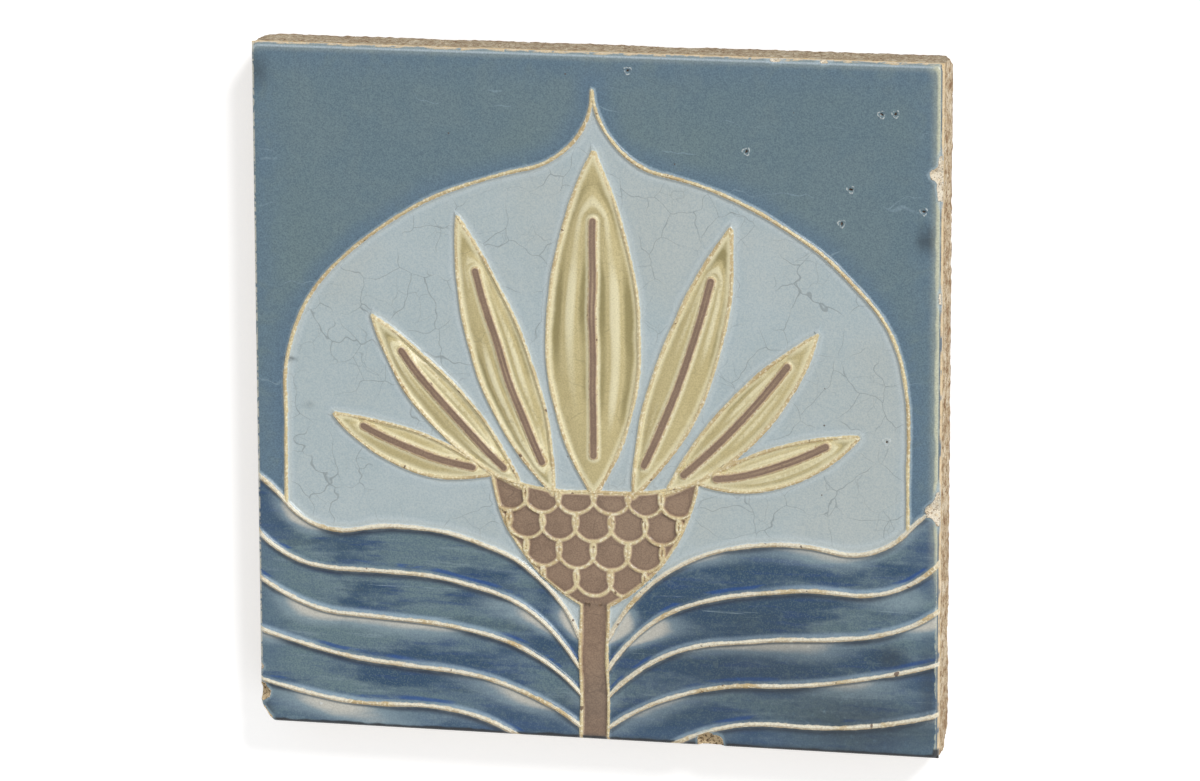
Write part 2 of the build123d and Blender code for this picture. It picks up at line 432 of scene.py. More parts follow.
@dataclass(frozen=True)
class Brushwork:
    """Cobalt brushed in long strokes over teal, with what the leaf lines do to it."""

    teal: str = "#5e767b"
    navy: str = "#0c3a5a"
    dusk: str = "#2a4556"
    stroke: str = "#7e929b"
    cobalt: str = "#0e3a6c"
    mottle: str = "#163b58"
    mist: str = "#6c7f7d"
    scratch: str = "#93a7b2"
    haze: str = "#8c9fa8"
    bloom: str = "#c6c3b8"
    flush: str = "#0c4486"
    glow: str = "#9fb6c8"
    shadow: str = "#121e32"

    def strokes(self, tree: Tree, place: Socket, broad: Socket) -> list[Layer]:
        """The brush strokes between the leaf lines.

        Args:
            tree: The tree that gets the nodes.
            place: The place on the object, in metres.
            broad: A noise for the broad patches.

        Returns:
            The layers.
        """
        long, thin, hair = (
            add(tree, "ShaderNodeMapping", {"Vector": place, "Scale": (squeeze, 1.0, 1.0)}).outputs[0]
            for squeeze in (0.3, 0.1, 0.035)
        )
        sweep, tone, bristle, stipple, line = (
            add(
                tree,
                "ShaderNodeTexNoise",
                {"Vector": where, "Scale": per(size), "Detail": 4.0, "Roughness": 0.62},
            ).outputs["Fac"]
            for where, size in ((long, 20.0), (long, 8.0), (thin, 1.7), (place, 2.0), (hair, 1.0))
        )
        return [
            (0.75, (sweep, 0.52, 0.40), self.teal),
            (0.95, (sweep, 0.47, 0.56), (tone, 0.26, 0.46), self.navy),
            (0.6, (tone, 0.54, 0.66), self.dusk),
            (0.5, (bristle, 0.54, 0.68), (sweep, 0.60, 0.44), self.stroke),
            (0.7, (bristle, 0.47, 0.36), (sweep, 0.42, 0.54), self.cobalt),
            (0.4, (stipple, 0.50, 0.66), (broad, 0.48, 0.58), self.mottle),
            (0.25, (stipple, 0.47, 0.35), (broad, 0.46, 0.58), self.mist),
            (0.55, (line, 0.66, 0.72), (tone, 0.40, 0.52), self.scratch),
        ]

    def line_shades(self, tree: Tree, wisp: Socket) -> list[Layer]:
        """A dark foot and a white bloom below each leaf line, and bright cobalt or a pale glow above it.

        Args:
            tree: The tree that gets the nodes.
            wisp: A noise that makes their borders ragged.

        Returns:
            The layers.
        """
        over, under, drift = (
            add(tree, "ShaderNodeAttribute", attribute_name=name).outputs["Fac"]
            for name in ("over", "under", "drift")
        )
        ragged = add(tree, "ShaderNodeMath", {0: wisp, 1: 5.0, 2: -2.5}, operation="MULTIPLY_ADD").outputs[0]
        below = add(tree, "ShaderNodeMath", {0: over, 1: ragged}, operation="ADD").outputs[0]
        lens, above = (
            add(tree, "ShaderNodeMath", {0: value, 1: amount, 2: start}, operation="MULTIPLY_ADD").outputs[0]
            for value, amount, start in ((drift, -15.0, below), (ragged, 0.35, under))
        )
        return [
            (0.65, (lens, 4.5, -2.5), (below, 12.0, 5.0), self.haze),
            (0.92, (lens, -1.0, -5.0), self.bloom),
            (0.5, (under, 2.3, 1.1), (drift, -0.25, 0.1), self.glow),
            (0.75, (above, 2.9, 2.3), (above, 1.2, 1.8), (drift, 0.1, -0.1), (wisp, 0.46, 0.56), self.flush),
            (0.85, (over, 2.9, 1.2), (drift, 0.32, 0.05), self.shadow),
            (0.6, (over, 1.7, 1.0), self.shadow),
        ]


@dataclass(frozen=True)
class Glaze:
    """A soft satin glaze: even where it is thick, darker where it pools and paler where it is thin, with
    painted shade beside raised lines and painted highlight and shadow at the edges.
    """

    name: str
    body: str
    second: str
    pooled: str
    thin: str
    wash: str
    second_amount: float = 0.5
    second_size: float = 26.0
    stretch: float = 1.0
    grain: float = 0.3
    glow: float = 0.6
    glow_reach: float = 1.9
    pool: float = 0.5
    pool_reach: float = 6.0
    fold_shade: str = "#867b4d"
    foot: float = 0.0
    foot_tint: str = "#8b9184"
    crackle: float = 0.0
    crackle_size: float = 13.0
    crackle_bend: float = 9.0
    crackle_tint: str = "#87928f"
    scratch: float = 0.0
    grime_and_shadow: str = "#2a3740"
    pit_lip: str = "#d5dad8"
    burnt: str = "#4b3626"
    speckle: float = 0.6
    shine: float = 0.34
    brushwork: Brushwork | None = None
    rim: Rim = field(default_factory=Rim)
    slip: Slip = field(default_factory=Slip)
    clay: BareClay = field(default_factory=BareClay)

    def material(self) -> bpy.types.Material:
        """The glaze, with the slip lines, rim, crackle, pits and chips that show in it.

        Returns:
            The material.
        """
        material, tree, shader, place = new_material(self.name)
        names = ("seam", "fold", "edge", "pit", "chip", "grime_and_shadow")
        seam, fold, edge, pit, chip, grime_and_shadow = (
            add(tree, "ShaderNodeAttribute", attribute_name=name).outputs["Fac"] for name in names
        )
        feeds = {"Vector": place, "Scale": (1 / self.stretch, self.stretch**0.5, 1.0)}
        drawn_out = add(tree, "ShaderNodeMapping", feeds).outputs[0]
        broad, wisp, haze, grain, wander, sand = (
            add(
                tree,
                "ShaderNodeTexNoise",
                {"Vector": where, "Scale": per(size), "Detail": detail, "Roughness": 0.6, "Distortion": bend},
            ).outputs["Fac"]
            for where, size, detail, bend in (
                (drawn_out, self.second_size, 4.0, 0.4),
                (drawn_out, self.second_size / 4, 5.0, 0.6),
                (place, 52.0, 3.0, 0.0),
                (place, 0.42, 1.0, 0.0),
                (place, 1.6, 2.0, 0.0),
                (place, 0.5, 2.0, 0.0),
            )
        )
        feeds = {0: wander, 1: 0.6, 2: -0.3}
        wobble = add(tree, "ShaderNodeMath", feeds, operation="MULTIPLY_ADD").outputs[0]
        line = add(tree, "ShaderNodeMath", {0: seam, 1: wobble}, operation="ADD").outputs[0]
        blend = add(tree, "ShaderNodeMath", {0: wisp, 1: 0.4, 2: broad}, operation="MULTIPLY_ADD").outputs[0]
        layers = [
            (self.second_amount, (blend, 0.60, 0.80), self.second),
            (0.4, (haze, 0.46, 0.68), self.wash),
        ]
        if self.brushwork:
            layers += self.brushwork.strokes(tree, place, broad)
        layers += [
            (self.grain, (grain, 0.50, 0.62), self.wash),
            (self.grain, (grain, 0.50, 0.38), self.pooled),
            (self.pool, (line, self.pool_reach, 1.2), (wisp, 0.15, 0.5), self.pooled),
            (0.45, (edge, 13.0, 1.5), (wisp, 0.2, 0.6), self.pooled),
        ]
        layers += self.hairlines(tree, place)
        if self.brushwork:
            layers += self.brushwork.line_shades(tree, wisp)
        layers += [
            (0.8, (fold, -0.2, -0.95), self.fold_shade),
            (0.95, (fold, 0.1, 0.9), (grain, 0.0, 0.4), self.thin),
            (self.glow, (line, self.glow_reach, 0.75), self.thin),
            # A dark band at the foot of the lines: partly pooled glaze, partly painted shade.
            (self.foot, (line, 2.3, 1.0), (line, 0.75, 0.95), self.foot_tint),
            # Grime, and along the bottom edge a painted shadow.
            (0.75, (grime_and_shadow, 0.1, 1.0), (wander, 0.0, 0.5), self.grime_and_shadow),
            *self.rim.layers(tree, place, edge, wander),
            (1.0, (line, 0.78, 0.46), (sand, 0.05, 0.35), self.slip.colour(tree, place)),
            (0.65, (pit, -0.08, -0.2), (wander, 0.36, 0.50), self.pit_lip),
            (0.95, (pit, 0.3, 0.6), self.burnt),
        ]
        speck = add(tree, "ShaderNodeTexVoronoi", {"Vector": place, "Scale": per(9.0)}).outputs["Distance"]
        rare = add(tree, "ShaderNodeTexNoise", {"Vector": place, "Scale": per(5.0)}).outputs["Fac"]
        layers.append((0.85, (speck, 0.04, 0.02), (rare, 0.5, 0.56), self.burnt))
        feeds = {"Vector": place, "Scale": per(1.0), "Detail": 4.0, "Roughness": 0.75}
        rubble = add(tree, "ShaderNodeTexNoise", feeds).outputs["Fac"]
        layers += [
            (0.55, (chip, 0.02, 0.4), self.thin),
            (1.0, (chip, 0.6, 0.8), self.clay.broken(tree, wander, grime_and_shadow, rubble)),
        ]
        feeds = {0: grain, 1: self.speckle, 2: 1.0 - self.speckle / 2}
        level = add(tree, "ShaderNodeMath", feeds, operation="MULTIPLY_ADD").outputs[0]
        feeds = {0: layered(tree, self.body, layers), "Scale": level}
        colour = add(tree, "ShaderNodeVectorMath", feeds, operation="SCALE").outputs[0]
        tree.links.new(colour, shader.inputs["Base Color"])
        dull = cover(tree, 1.0, (chip, 0.6, 0.8))
        bare = cover(tree, 1.0, (line, 0.82, 0.5))
        self.feel(tree, shader, dull, bare, (wisp, grain, rubble))
        return material

    def feel(self, tree: Tree, shader: bpy.types.Node, dull: Socket, bare: Socket, noises: tuple) -> None:
        """Sets the shader's gloss and bumps.

        Args:
            tree: The glaze's tree.
            shader: Its shader.
            dull: How broken the surface is, from 0 to 1.
            bare: How much of the slip shows, from 0 to 1.
            noises: The noises for ripples, fine grain and broken clay.
        """
        wisp, grain, rubble = noises
        feeds = {0: bare, 1: 0.1, 2: self.shine}
        shine = add(tree, "ShaderNodeMath", feeds, operation="MULTIPLY_ADD").outputs[0]
        rough = add(tree, "ShaderNodeMix", {0: dull, 2: shine, 3: 0.95}, data_type="FLOAT").outputs[0]
        tree.links.new(rough, shader.inputs["Roughness"])
        lumps = add(tree, "ShaderNodeMath", {0: dull, 1: rubble}, operation="MULTIPLY").outputs[0]
        feeds = {}
        for height, depth, strength in ((wisp, 0.3, 0.3), (grain, 0.04, 0.5), (lumps, 0.9, 0.9)):
            feeds |= {"Height": height, "Distance": depth * MM, "Strength": strength}
            feeds["Normal"] = add(tree, "ShaderNodeBump", feeds).outputs[0]
        tree.links.new(feeds["Normal"], shader.inputs["Normal"])

    def hairlines(self, tree: Tree, place: Socket) -> list[Layer]:
        """The crazing in two sizes, broken off here and there, and slanting scratches from use.

        Args:
            tree: The tree that gets the nodes.
            place: The place on the object, in metres.

        Returns:
            The layers.
        """
        layers = []
        bend, gap = (
            add(tree, "ShaderNodeTexNoise", {"Vector": place, "Scale": per(size), "Detail": 2.0}).outputs
            for size in (11.0, 18.0)
        )
        feeds = {0: bend["Color"], "Scale": self.crackle_bend * MM}
        push = add(tree, "ShaderNodeVectorMath", feeds, operation="SCALE").outputs[0]
        bent = add(tree, "ShaderNodeVectorMath", {0: place, 1: push}, operation="ADD").outputs[0]
        slant = {"Vector": bent, "Rotation": (0.0, 0.0, math.radians(41)), "Scale": (0.09, 1.0, 1.0)}
        slanted = add(tree, "ShaderNodeMapping", slant).outputs[0]
        for where, size, width, strength, shown in (
            (bent, self.crackle_size, 0.14, self.crackle, 0.40),
            (bent, self.crackle_size * 0.55, 0.11, self.crackle * 0.6, 0.50),
            (slanted, 13.0, 0.14, self.scratch, 0.52),
        ):
            if strength:
                feeds = {"Vector": where, "Scale": per(size)}
                web = add(tree, "ShaderNodeTexVoronoi", feeds, feature="DISTANCE_TO_EDGE").outputs["Distance"]
                # Real crazing is under 0.05 mm wide, which is too fine to show, so it is drawn wider.
                hair = (web, width / size, width / size * 0.3)
                layers.append((strength, hair, (gap["Fac"], shown, shown + 0.12), self.crackle_tint))
        return layers


GLAZES = (
    # Slate matt: a cobalt glaze greyed with iron, brushed evenly, bluer where it lies thick.
    Glaze(
        "slate_matt_glaze", "#637880", "#5a727e", "#526d85", "#a3b5bf", "#6c7f7d",
        glow=0.6, glow_reach=1.6, second_amount=0.6, pool=0.6, pool_reach=9.0, scratch=0.6,
        crackle_tint="#7d939f", grain=0.18, speckle=0.85,
    ),
    # Pale blue gloss: a tin-white glaze with a little cobalt, crazed all over.
    Glaze(
        "pale_blue_crackle_glaze", "#afbcbf", "#a6b5b8", "#9fb1ba", "#cbd5d8", "#b7bab3",
        glow=0.65, glow_reach=3.4, second_size=34.0, crackle=0.68, pool=0.25, grain=0.24, shine=0.28,
        foot=0.3, crackle_tint="#838c8e", speckle=0.35,
    ),
    # Olive: an iron and rutile glaze that breaks to cream on every high place.
    Glaze(
        "olive_breaking_glaze", "#c4b686", "#b9aa78", "#a3966a", "#e3dab4", "#cbbe90",
        glow=0.9, glow_reach=2.6, second_size=18.0, crackle=0.35, crackle_size=11.0, crackle_tint="#8d8360",
        pool=0.25, grain=0.16, speckle=0.4,
    ),
    # Brown: a manganese glaze, matt and slightly streaked.
    Glaze(
        "brown_manganese_glaze", "#8d7560", "#7d6653", "#6c5547", "#c7ae8e", "#9c8670",
        glow=0.7, glow_reach=1.25, second_amount=0.6, second_size=9.0, crackle=0.5, crackle_tint="#6b5748",
        fold_shade="#6c5547", pool=0.35, pool_reach=3.0, grain=0.2, speckle=0.4,
    ),
    # Deep blue: strong cobalt brushed over teal, which it leaves bare in streaks.
    Glaze(
        "deep_blue_brushed_glaze", "#5d737e", "#36517a", "#415b78", "#93a7b0", "#6d7f7c",
        glow=0.3, glow_reach=1.5, second_amount=0.5, second_size=40.0, stretch=2.4, pool=0.25,
        pool_reach=3.0, brushwork=Brushwork(), scratch=0.2, crackle_tint="#7d939f", grain=0.28, speckle=0.55,
    ),
)


@dataclass(frozen=True)
class Petal:
    """One petal of the palmette, in hundredths of half the side."""

    across: float
    tip: Point
    left_belly: float
    right_belly: float
    share: float


@dataclass
class Picture:
    """The raised-line picture: its design values, and the lines that follow from them."""

    side: float
    stem_half: float = 4.0
    bowl_top: Point = (30.0, -23.0)
    bowl_side: Point = (20.5, -46.0)
    bowl_foot_y: float = -60.0
    bowl_sag: float = 4.0
    scale_width: float = 10.0
    scale_drop: float = 8.0
    scale_rows: int = 4
    scale_girth: float = 0.66
    petal_tuck: float = 1.2
    past_edge: float = 103.0
    arch_foot: Point = (91.0, -34.0)
    arch_points: tuple[Point, ...] = ((91.0, 0.0), (76.0, 36.0), (20.0, 66.0), (0.0, 90.0))
    vein_span: Point = (0.12, 0.80)
    petals: tuple[Petal, ...] = (
        Petal(0.0, (0.0, 72.0), 13.5, 13.5, 0.44),
        Petal(11.5, (40.0, 52.0), 6.5, 9.5, 0.46),
        Petal(21.0, (65.0, 22.0), 5.0, 8.0, 0.48),
        Petal(30.0, (77.0, -7.0), 3.5, 7.5, 0.48),
    )
    step: float = 0.15
    sway_reach: float = 0.5
    sway_size: float = 17.0
    rails: list[np.ndarray] = field(default_factory=list)
    girths: list[float] = field(default_factory=list)
    scales: list[np.ndarray] = field(default_factory=list)
    veins: list[np.ndarray] = field(default_factory=list)
    petal_shapes: list[tuple[np.ndarray, np.ndarray]] = field(default_factory=list)

    def __post_init__(self) -> None:
        """Works out every line of the picture."""
        self.unit = self.side / 200.0
        self._draw_arch_and_leaves()
        self._draw_bowl()
        for petal in self.petals:
            self._draw_petal(petal)

    def lines(self) -> list[tuple[np.ndarray, float]]:
        """Every raised line with its girth, the scales last."""
        return [*zip(self.rails, self.girths), *((scale, self.scale_girth) for scale in self.scales)]

    def add_rails(self, girth: float, *lines: np.ndarray) -> None:
        """Adds raised lines of one thickness, as a share of the usual one."""
        self.rails += lines
        self.girths += [girth] * len(lines)

    def sway(self, flat: np.ndarray) -> np.ndarray:
        """How far the hand that drew the lines strayed at each place."""
        return self.sway_reach * np.stack([ripple(flat, self.sway_size, depth) for depth in (1.5, 8.5)], 1)

    def as_drawn(self, line: np.ndarray) -> np.ndarray:
        """Where a line of the design lies on the tile."""
        drawn = line - self.sway(line)
        return line - self.sway(drawn)

    def gaps(self, flat: np.ndarray) -> tuple[np.ndarray, np.ndarray]:
        """How far below a leaf line, and how far above one, each point lies.

        Args:
            flat: The points, one row each.

        Returns:
            The two distances in millimetres, 30 at most.
        """
        over, under = np.full(len(flat), 30.0), np.full(len(flat), 30.0)
        for leaf in self.leaves:
            gap = np.interp(np.abs(flat[:, 0]), leaf[:, 0], leaf[:, 1]) - flat[:, 1]
            over = np.where(gap > 0, np.minimum(over, gap), over)
            under = np.where(gap < 0, np.minimum(under, -gap), under)
        return over, under

    def flow(self, start: Point, degrees: float, *via: Point) -> np.ndarray:
        """Points along tangent arcs that leave start at an angle and pass through each further point.

        Args:
            start: The first point.
            degrees: The direction in which the line leaves it.
            via: The points that the arcs join.

        Returns:
            The points, in millimetres, one row each.
        """
        here = np.array(start) * self.unit
        angle = math.radians(degrees)
        pieces = [here[None]]
        for target in via:
            there = np.array(target) * self.unit
            chord = there - here
            length = float(np.hypot(*chord))
            bearing = math.atan2(chord[1], chord[0])
            turn = (bearing - angle + math.pi) % (2 * math.pi) - math.pi
            shares = np.linspace(0.0, 1.0, max(2, math.ceil(length / self.step)) + 1)[1:, None]
            if abs(math.sin(turn)) < 1e-6:
                pieces.append(here + chord * shares)
            else:
                radius = length / (2 * math.sin(turn))
                centre = here + radius * np.array([-math.sin(angle), math.cos(angle)])
                sweep = angle - math.pi / 2 + 2 * turn * shares
                pieces.append(centre + radius * np.hstack([np.cos(sweep), np.sin(sweep)]))
            angle = bearing + turn
            here = there
        return np.vstack(pieces)

    def edge(self, foot: Point, tip: Point, belly: float, share: float) -> np.ndarray:
        """One edge of a petal, bellied out to the left of the line from foot to tip.

        Args:
            foot: Where the edge starts.
            tip: Where it ends.
            belly: How far out its widest point lies, to the right of the line if negative.
            share: How far along the line the widest point lies, as a share.

        Returns:
            The edge's points, in millimetres.
        """
        base, along = np.array(foot), np.array(tip) - np.array(foot)
        left = np.array([-along[1], along[0]]) / np.hypot(*along)
        widest = base + along * share + left * belly
        out = widest - base
        start = 2 * math.atan2(out[1], out[0]) - math.atan2(along[1], along[0])
        return self.flow(foot, math.degrees(start), tuple(widest), tip)

    def on_lip(self, across: float, tuck: float = 0.0) -> Point:
        """The point on the bowl's lip, or tucked behind it, at a distance from the middle.

        Args:
            across: The distance from the middle.
            tuck: How far below the lip the point lies.

        Returns:
            The point.
        """
        radius = (self.bowl_top[0] ** 2 + self.bowl_sag**2) / (2 * self.bowl_sag)
        level = self.bowl_top[1] - self.bowl_sag - tuck + radius
        return across, level - math.sqrt(radius**2 - across**2)

    def bend(self, start: Point, middle: Point, end: Point) -> np.ndarray:
        """Points along the arc through three points.

        Args:
            start: Where the arc starts.
            middle: A point that it passes.
            end: Where it ends.

        Returns:
            The arc's points, in millimetres.
        """
        a, b, c = (complex(*p) for p in (start, middle, end))
        w = (c - a) / (b - a)
        centre = a + (b - a) * (w - abs(w) ** 2) / (2j * w.imag)
        tangent = (a - centre) * (1j if w.imag > 0 else -1j)
        return self.flow(start, math.degrees(math.atan2(tangent.imag, tangent.real)), middle, end)

    def _draw_arch_and_leaves(self) -> None:
        """Draws the ogee arch and the leaf lines that sweep out to the tile's sides."""
        out, stem = self.past_edge, self.stem_half
        leaf_lines = (
            ((stem, -70.0), 66.0, (34.0, -43.0), (70.0, -41.0), self.arch_foot, (out, -24.0)),
            ((stem, -79.0), 60.0, (34.0, -56.5), (74.0, -53.0), (out, -39.0)),
            ((stem, -87.0), 50.0, (38.0, -69.0), (74.0, -66.0), (out, -54.0)),
            ((stem, -96.0), 36.0, (46.0, -81.5), (out, -71.0)),
            ((18.0, -out), 34.0, (56.0, -92.5), (out, -86.0)),
        )
        self.leaves = [self.flow(*line) for line in leaf_lines]
        self.arch = self.flow(self.arch_foot, 90.0, *self.arch_points)
        stem_edge = self.flow((stem, self.bowl_foot_y), -90.0, (stem, -out))
        for line, girth in [*((leaf, 1.05) for leaf in self.leaves), (self.arch, 0.88), (stem_edge, 0.75)]:
            self.add_rails(girth, line, line * (-1, 1))

    def _draw_bowl(self) -> None:
        """Draws the bowl and the scales across it."""
        top, sag = self.bowl_top, self.bowl_sag
        foot = (self.stem_half, self.bowl_foot_y)
        lip = self.bend((-top[0], top[1]), (0.0, top[1] - sag), top)
        side = self.bend(top, self.bowl_side, foot)
        self.add_rails(0.8, lip, side, side * (-1, 1))
        self.bowl = np.vstack([lip, side, (side * (-1, 1))[::-1]])
        for row in range(self.scale_rows):
            level = top[1] - sag / 2 - row * self.scale_drop
            count = 2 * math.ceil(top[0] / self.scale_width) + row % 2
            for number in range(count):
                start = (number - count / 2) * self.scale_width
                lowest = (start + self.scale_width / 2, level - self.scale_drop)
                arc = self.bend((start, level), lowest, (start + self.scale_width, level))
                inner = arc[inside(arc, self.bowl)]
                if len(inner) > 4:
                    self.scales.append(inner)

    def _draw_petal(self, petal: Petal) -> None:
        """Draws a petal's two edges and the bar down its middle, and its mirror image.

        Args:
            petal: The petal's design values.
        """
        tuck = 0.0 if petal.across == self.bowl_top[0] else self.petal_tuck
        foot = self.on_lip(petal.across, tuck)
        left = self.edge(foot, petal.tip, petal.left_belly, petal.share)
        right = self.edge(foot, petal.tip, -petal.right_belly, petal.share)
        base, along = np.array(foot), np.array(petal.tip) - np.array(foot)
        drift = (petal.left_belly - petal.right_belly) / 2
        low, high = (tuple(base + along * share) for share in self.vein_span)
        vein = self.edge(low, high, drift * 0.8, petal.share)
        aside = np.array([-along[1], along[0]]) / np.hypot(*along) * drift
        axis = np.array([base + aside, base + along + aside]) * self.unit
        for flip in ((1, 1), (-1, 1)) if petal.across else ((1, 1),):
            self.add_rails(0.85, left * flip, right * flip)
            self.veins.append(vein * flip)
            self.petal_shapes.append((np.vstack([left, right[::-1]]) * flip, axis * flip))


def inside(points: np.ndarray, *outline: np.ndarray) -> np.ndarray:
    """Tells which points lie inside a closed outline.

    Args:
        points: The points, one row each.
        outline: The runs of points that make up the outline, in order.

    Returns:
        One truth value for each point.
    """
    runs = [np.vstack([run[: -1 : max(1, len(run) // 160)], run[-1:]]) for run in outline]
    corners = np.vstack(runs)
    result = np.zeros(len(points), bool)
    x, y = points[:, 0], points[:, 1]
    for (x0, y0), (x1, y1) in zip(corners, np.roll(corners, -1, axis=0)):
        if y0 != y1:
            crosses = (y0 > y) != (y1 > y)
            result ^= crosses & (x < (x1 - x0) * (y - y0) / (y1 - y0) + x0)
    return result


def smooth(low: float, high: float, value: np.ndarray) -> np.ndarray:
    """A smooth step from 0 at low to 1 at high."""
    share = np.clip((value - low) / (high - low), 0.0, 1.0)
    return share * share * (3 - 2 * share)


def ripple(points: np.ndarray, size: float, seed: float = 0.0) -> np.ndarray:
    """Smooth noise from -1 to 1 at each point, with features of a size in millimetres."""
    return np.array([noise.noise(Vector((*point[:2], seed)) / size) for point in points])


class Nearest:
    """Finds the distance from points to a set of lines."""

    def __init__(self, lines: Iterable[np.ndarray]) -> None:
        """Takes the lines, each given by closely spaced points.

        Args:
            lines: The lines, one row for each point.
        """
        self.samples = np.vstack(list(lines))
        self.tree = kdtree.KDTree(len(self.samples))
        for number, (x, y) in enumerate(self.samples):
            self.tree.insert((x, y, 0.0), number)
        self.tree.balance()

    def find(self, points: np.ndarray) -> tuple[np.ndarray, np.ndarray]:
        """Returns each point's distance to the nearest line, and that line point's number."""
        found = [self.tree.find((x, y, 0.0)) for x, y in points]
        return np.array([f[2] for f in found]), np.array([f[1] for f in found])


@dataclass(frozen=True)
class Chip:
    """A bite broken out of an edge: its middle, its reach along the tile's axes, and its power.

    A power of 2 makes a rounded bite, and one nearer to 1 makes a kite.
    """

    middle: tuple[float, float, float]
    reach: tuple[float, float, float]
    roughness: float = 0.16
    power: float = 2.0
    bruise: float = 1.1

    @classmethod
    def cut(cls, corner: tuple[float, float, float], sizes: tuple[float, float, float]) -> "Chip":
        """An almost flat break across a corner, given by where it meets the edges, outwards of it.

        Args:
            corner: The corner.
            sizes: How far the break reaches along each axis, signed outwards.

        Returns:
            The chip.
        """
        slope = Vector([1 / size for size in sizes])
        outward, depth = slope.normalized(), 1 / slope.length
        away = 12.0 * max(depth, 2.0)
        middle = Vector(corner) + outward * away
        tall = 1.0 if math.isfinite(sizes[2]) else 20.0
        return cls(tuple(middle), (away + depth, away + depth, (away + depth) * tall), 0.01)

    def bite(self, points: np.ndarray) -> np.ndarray:
        """Pushes the points that the bite takes away onto its broken surface.

        Args:
            points: The mesh's points, changed in place.

        Returns:
            How broken each point is: 1 where it moved, and from 0.5 down to 0 in a narrow ring around.
        """
        away = (points - self.middle) / self.reach
        length = (np.abs(away) ** self.power).sum(axis=1) ** (1 / self.power)
        ring = self.bruise / min(self.reach)
        near = length < 1.0 + 2.5 * self.roughness + ring
        wanted = np.ones(len(points))
        for number in np.flatnonzero(near):
            way = Vector(away[number] / max(length[number], 1e-6))
            spot = Vector(points[number])
            wanted[number] += self.roughness * (noise.noise(way * 2.3) + noise.noise(spot * 0.9) * 0.7)
        moved = near & (length < wanted)
        scale = wanted[moved] / np.maximum(length[moved], 1e-6)
        points[moved] = self.middle + (points - self.middle)[moved] * scale[:, None]
        broken = np.where(near, 0.5 * np.clip(1.0 - (length - wanted) / ring, 0.0, 1.0), 0.0)
        broken[moved] = 1.0
        return broken


@dataclass(frozen=True)
class Smudge:
    """A soft dark place where grime has worked into the glaze, and along the bottom edge a painted shadow as
    well.
    """

    middle: Point
    reach: Point
    strength: float = 1.0

    def shade(self, flat: np.ndarray) -> np.ndarray:
        """How dark each point is, from 0 to the smudge's strength."""
        away = (flat - self.middle) / self.reach
        return self.strength * np.exp(-(away**2).sum(axis=1))


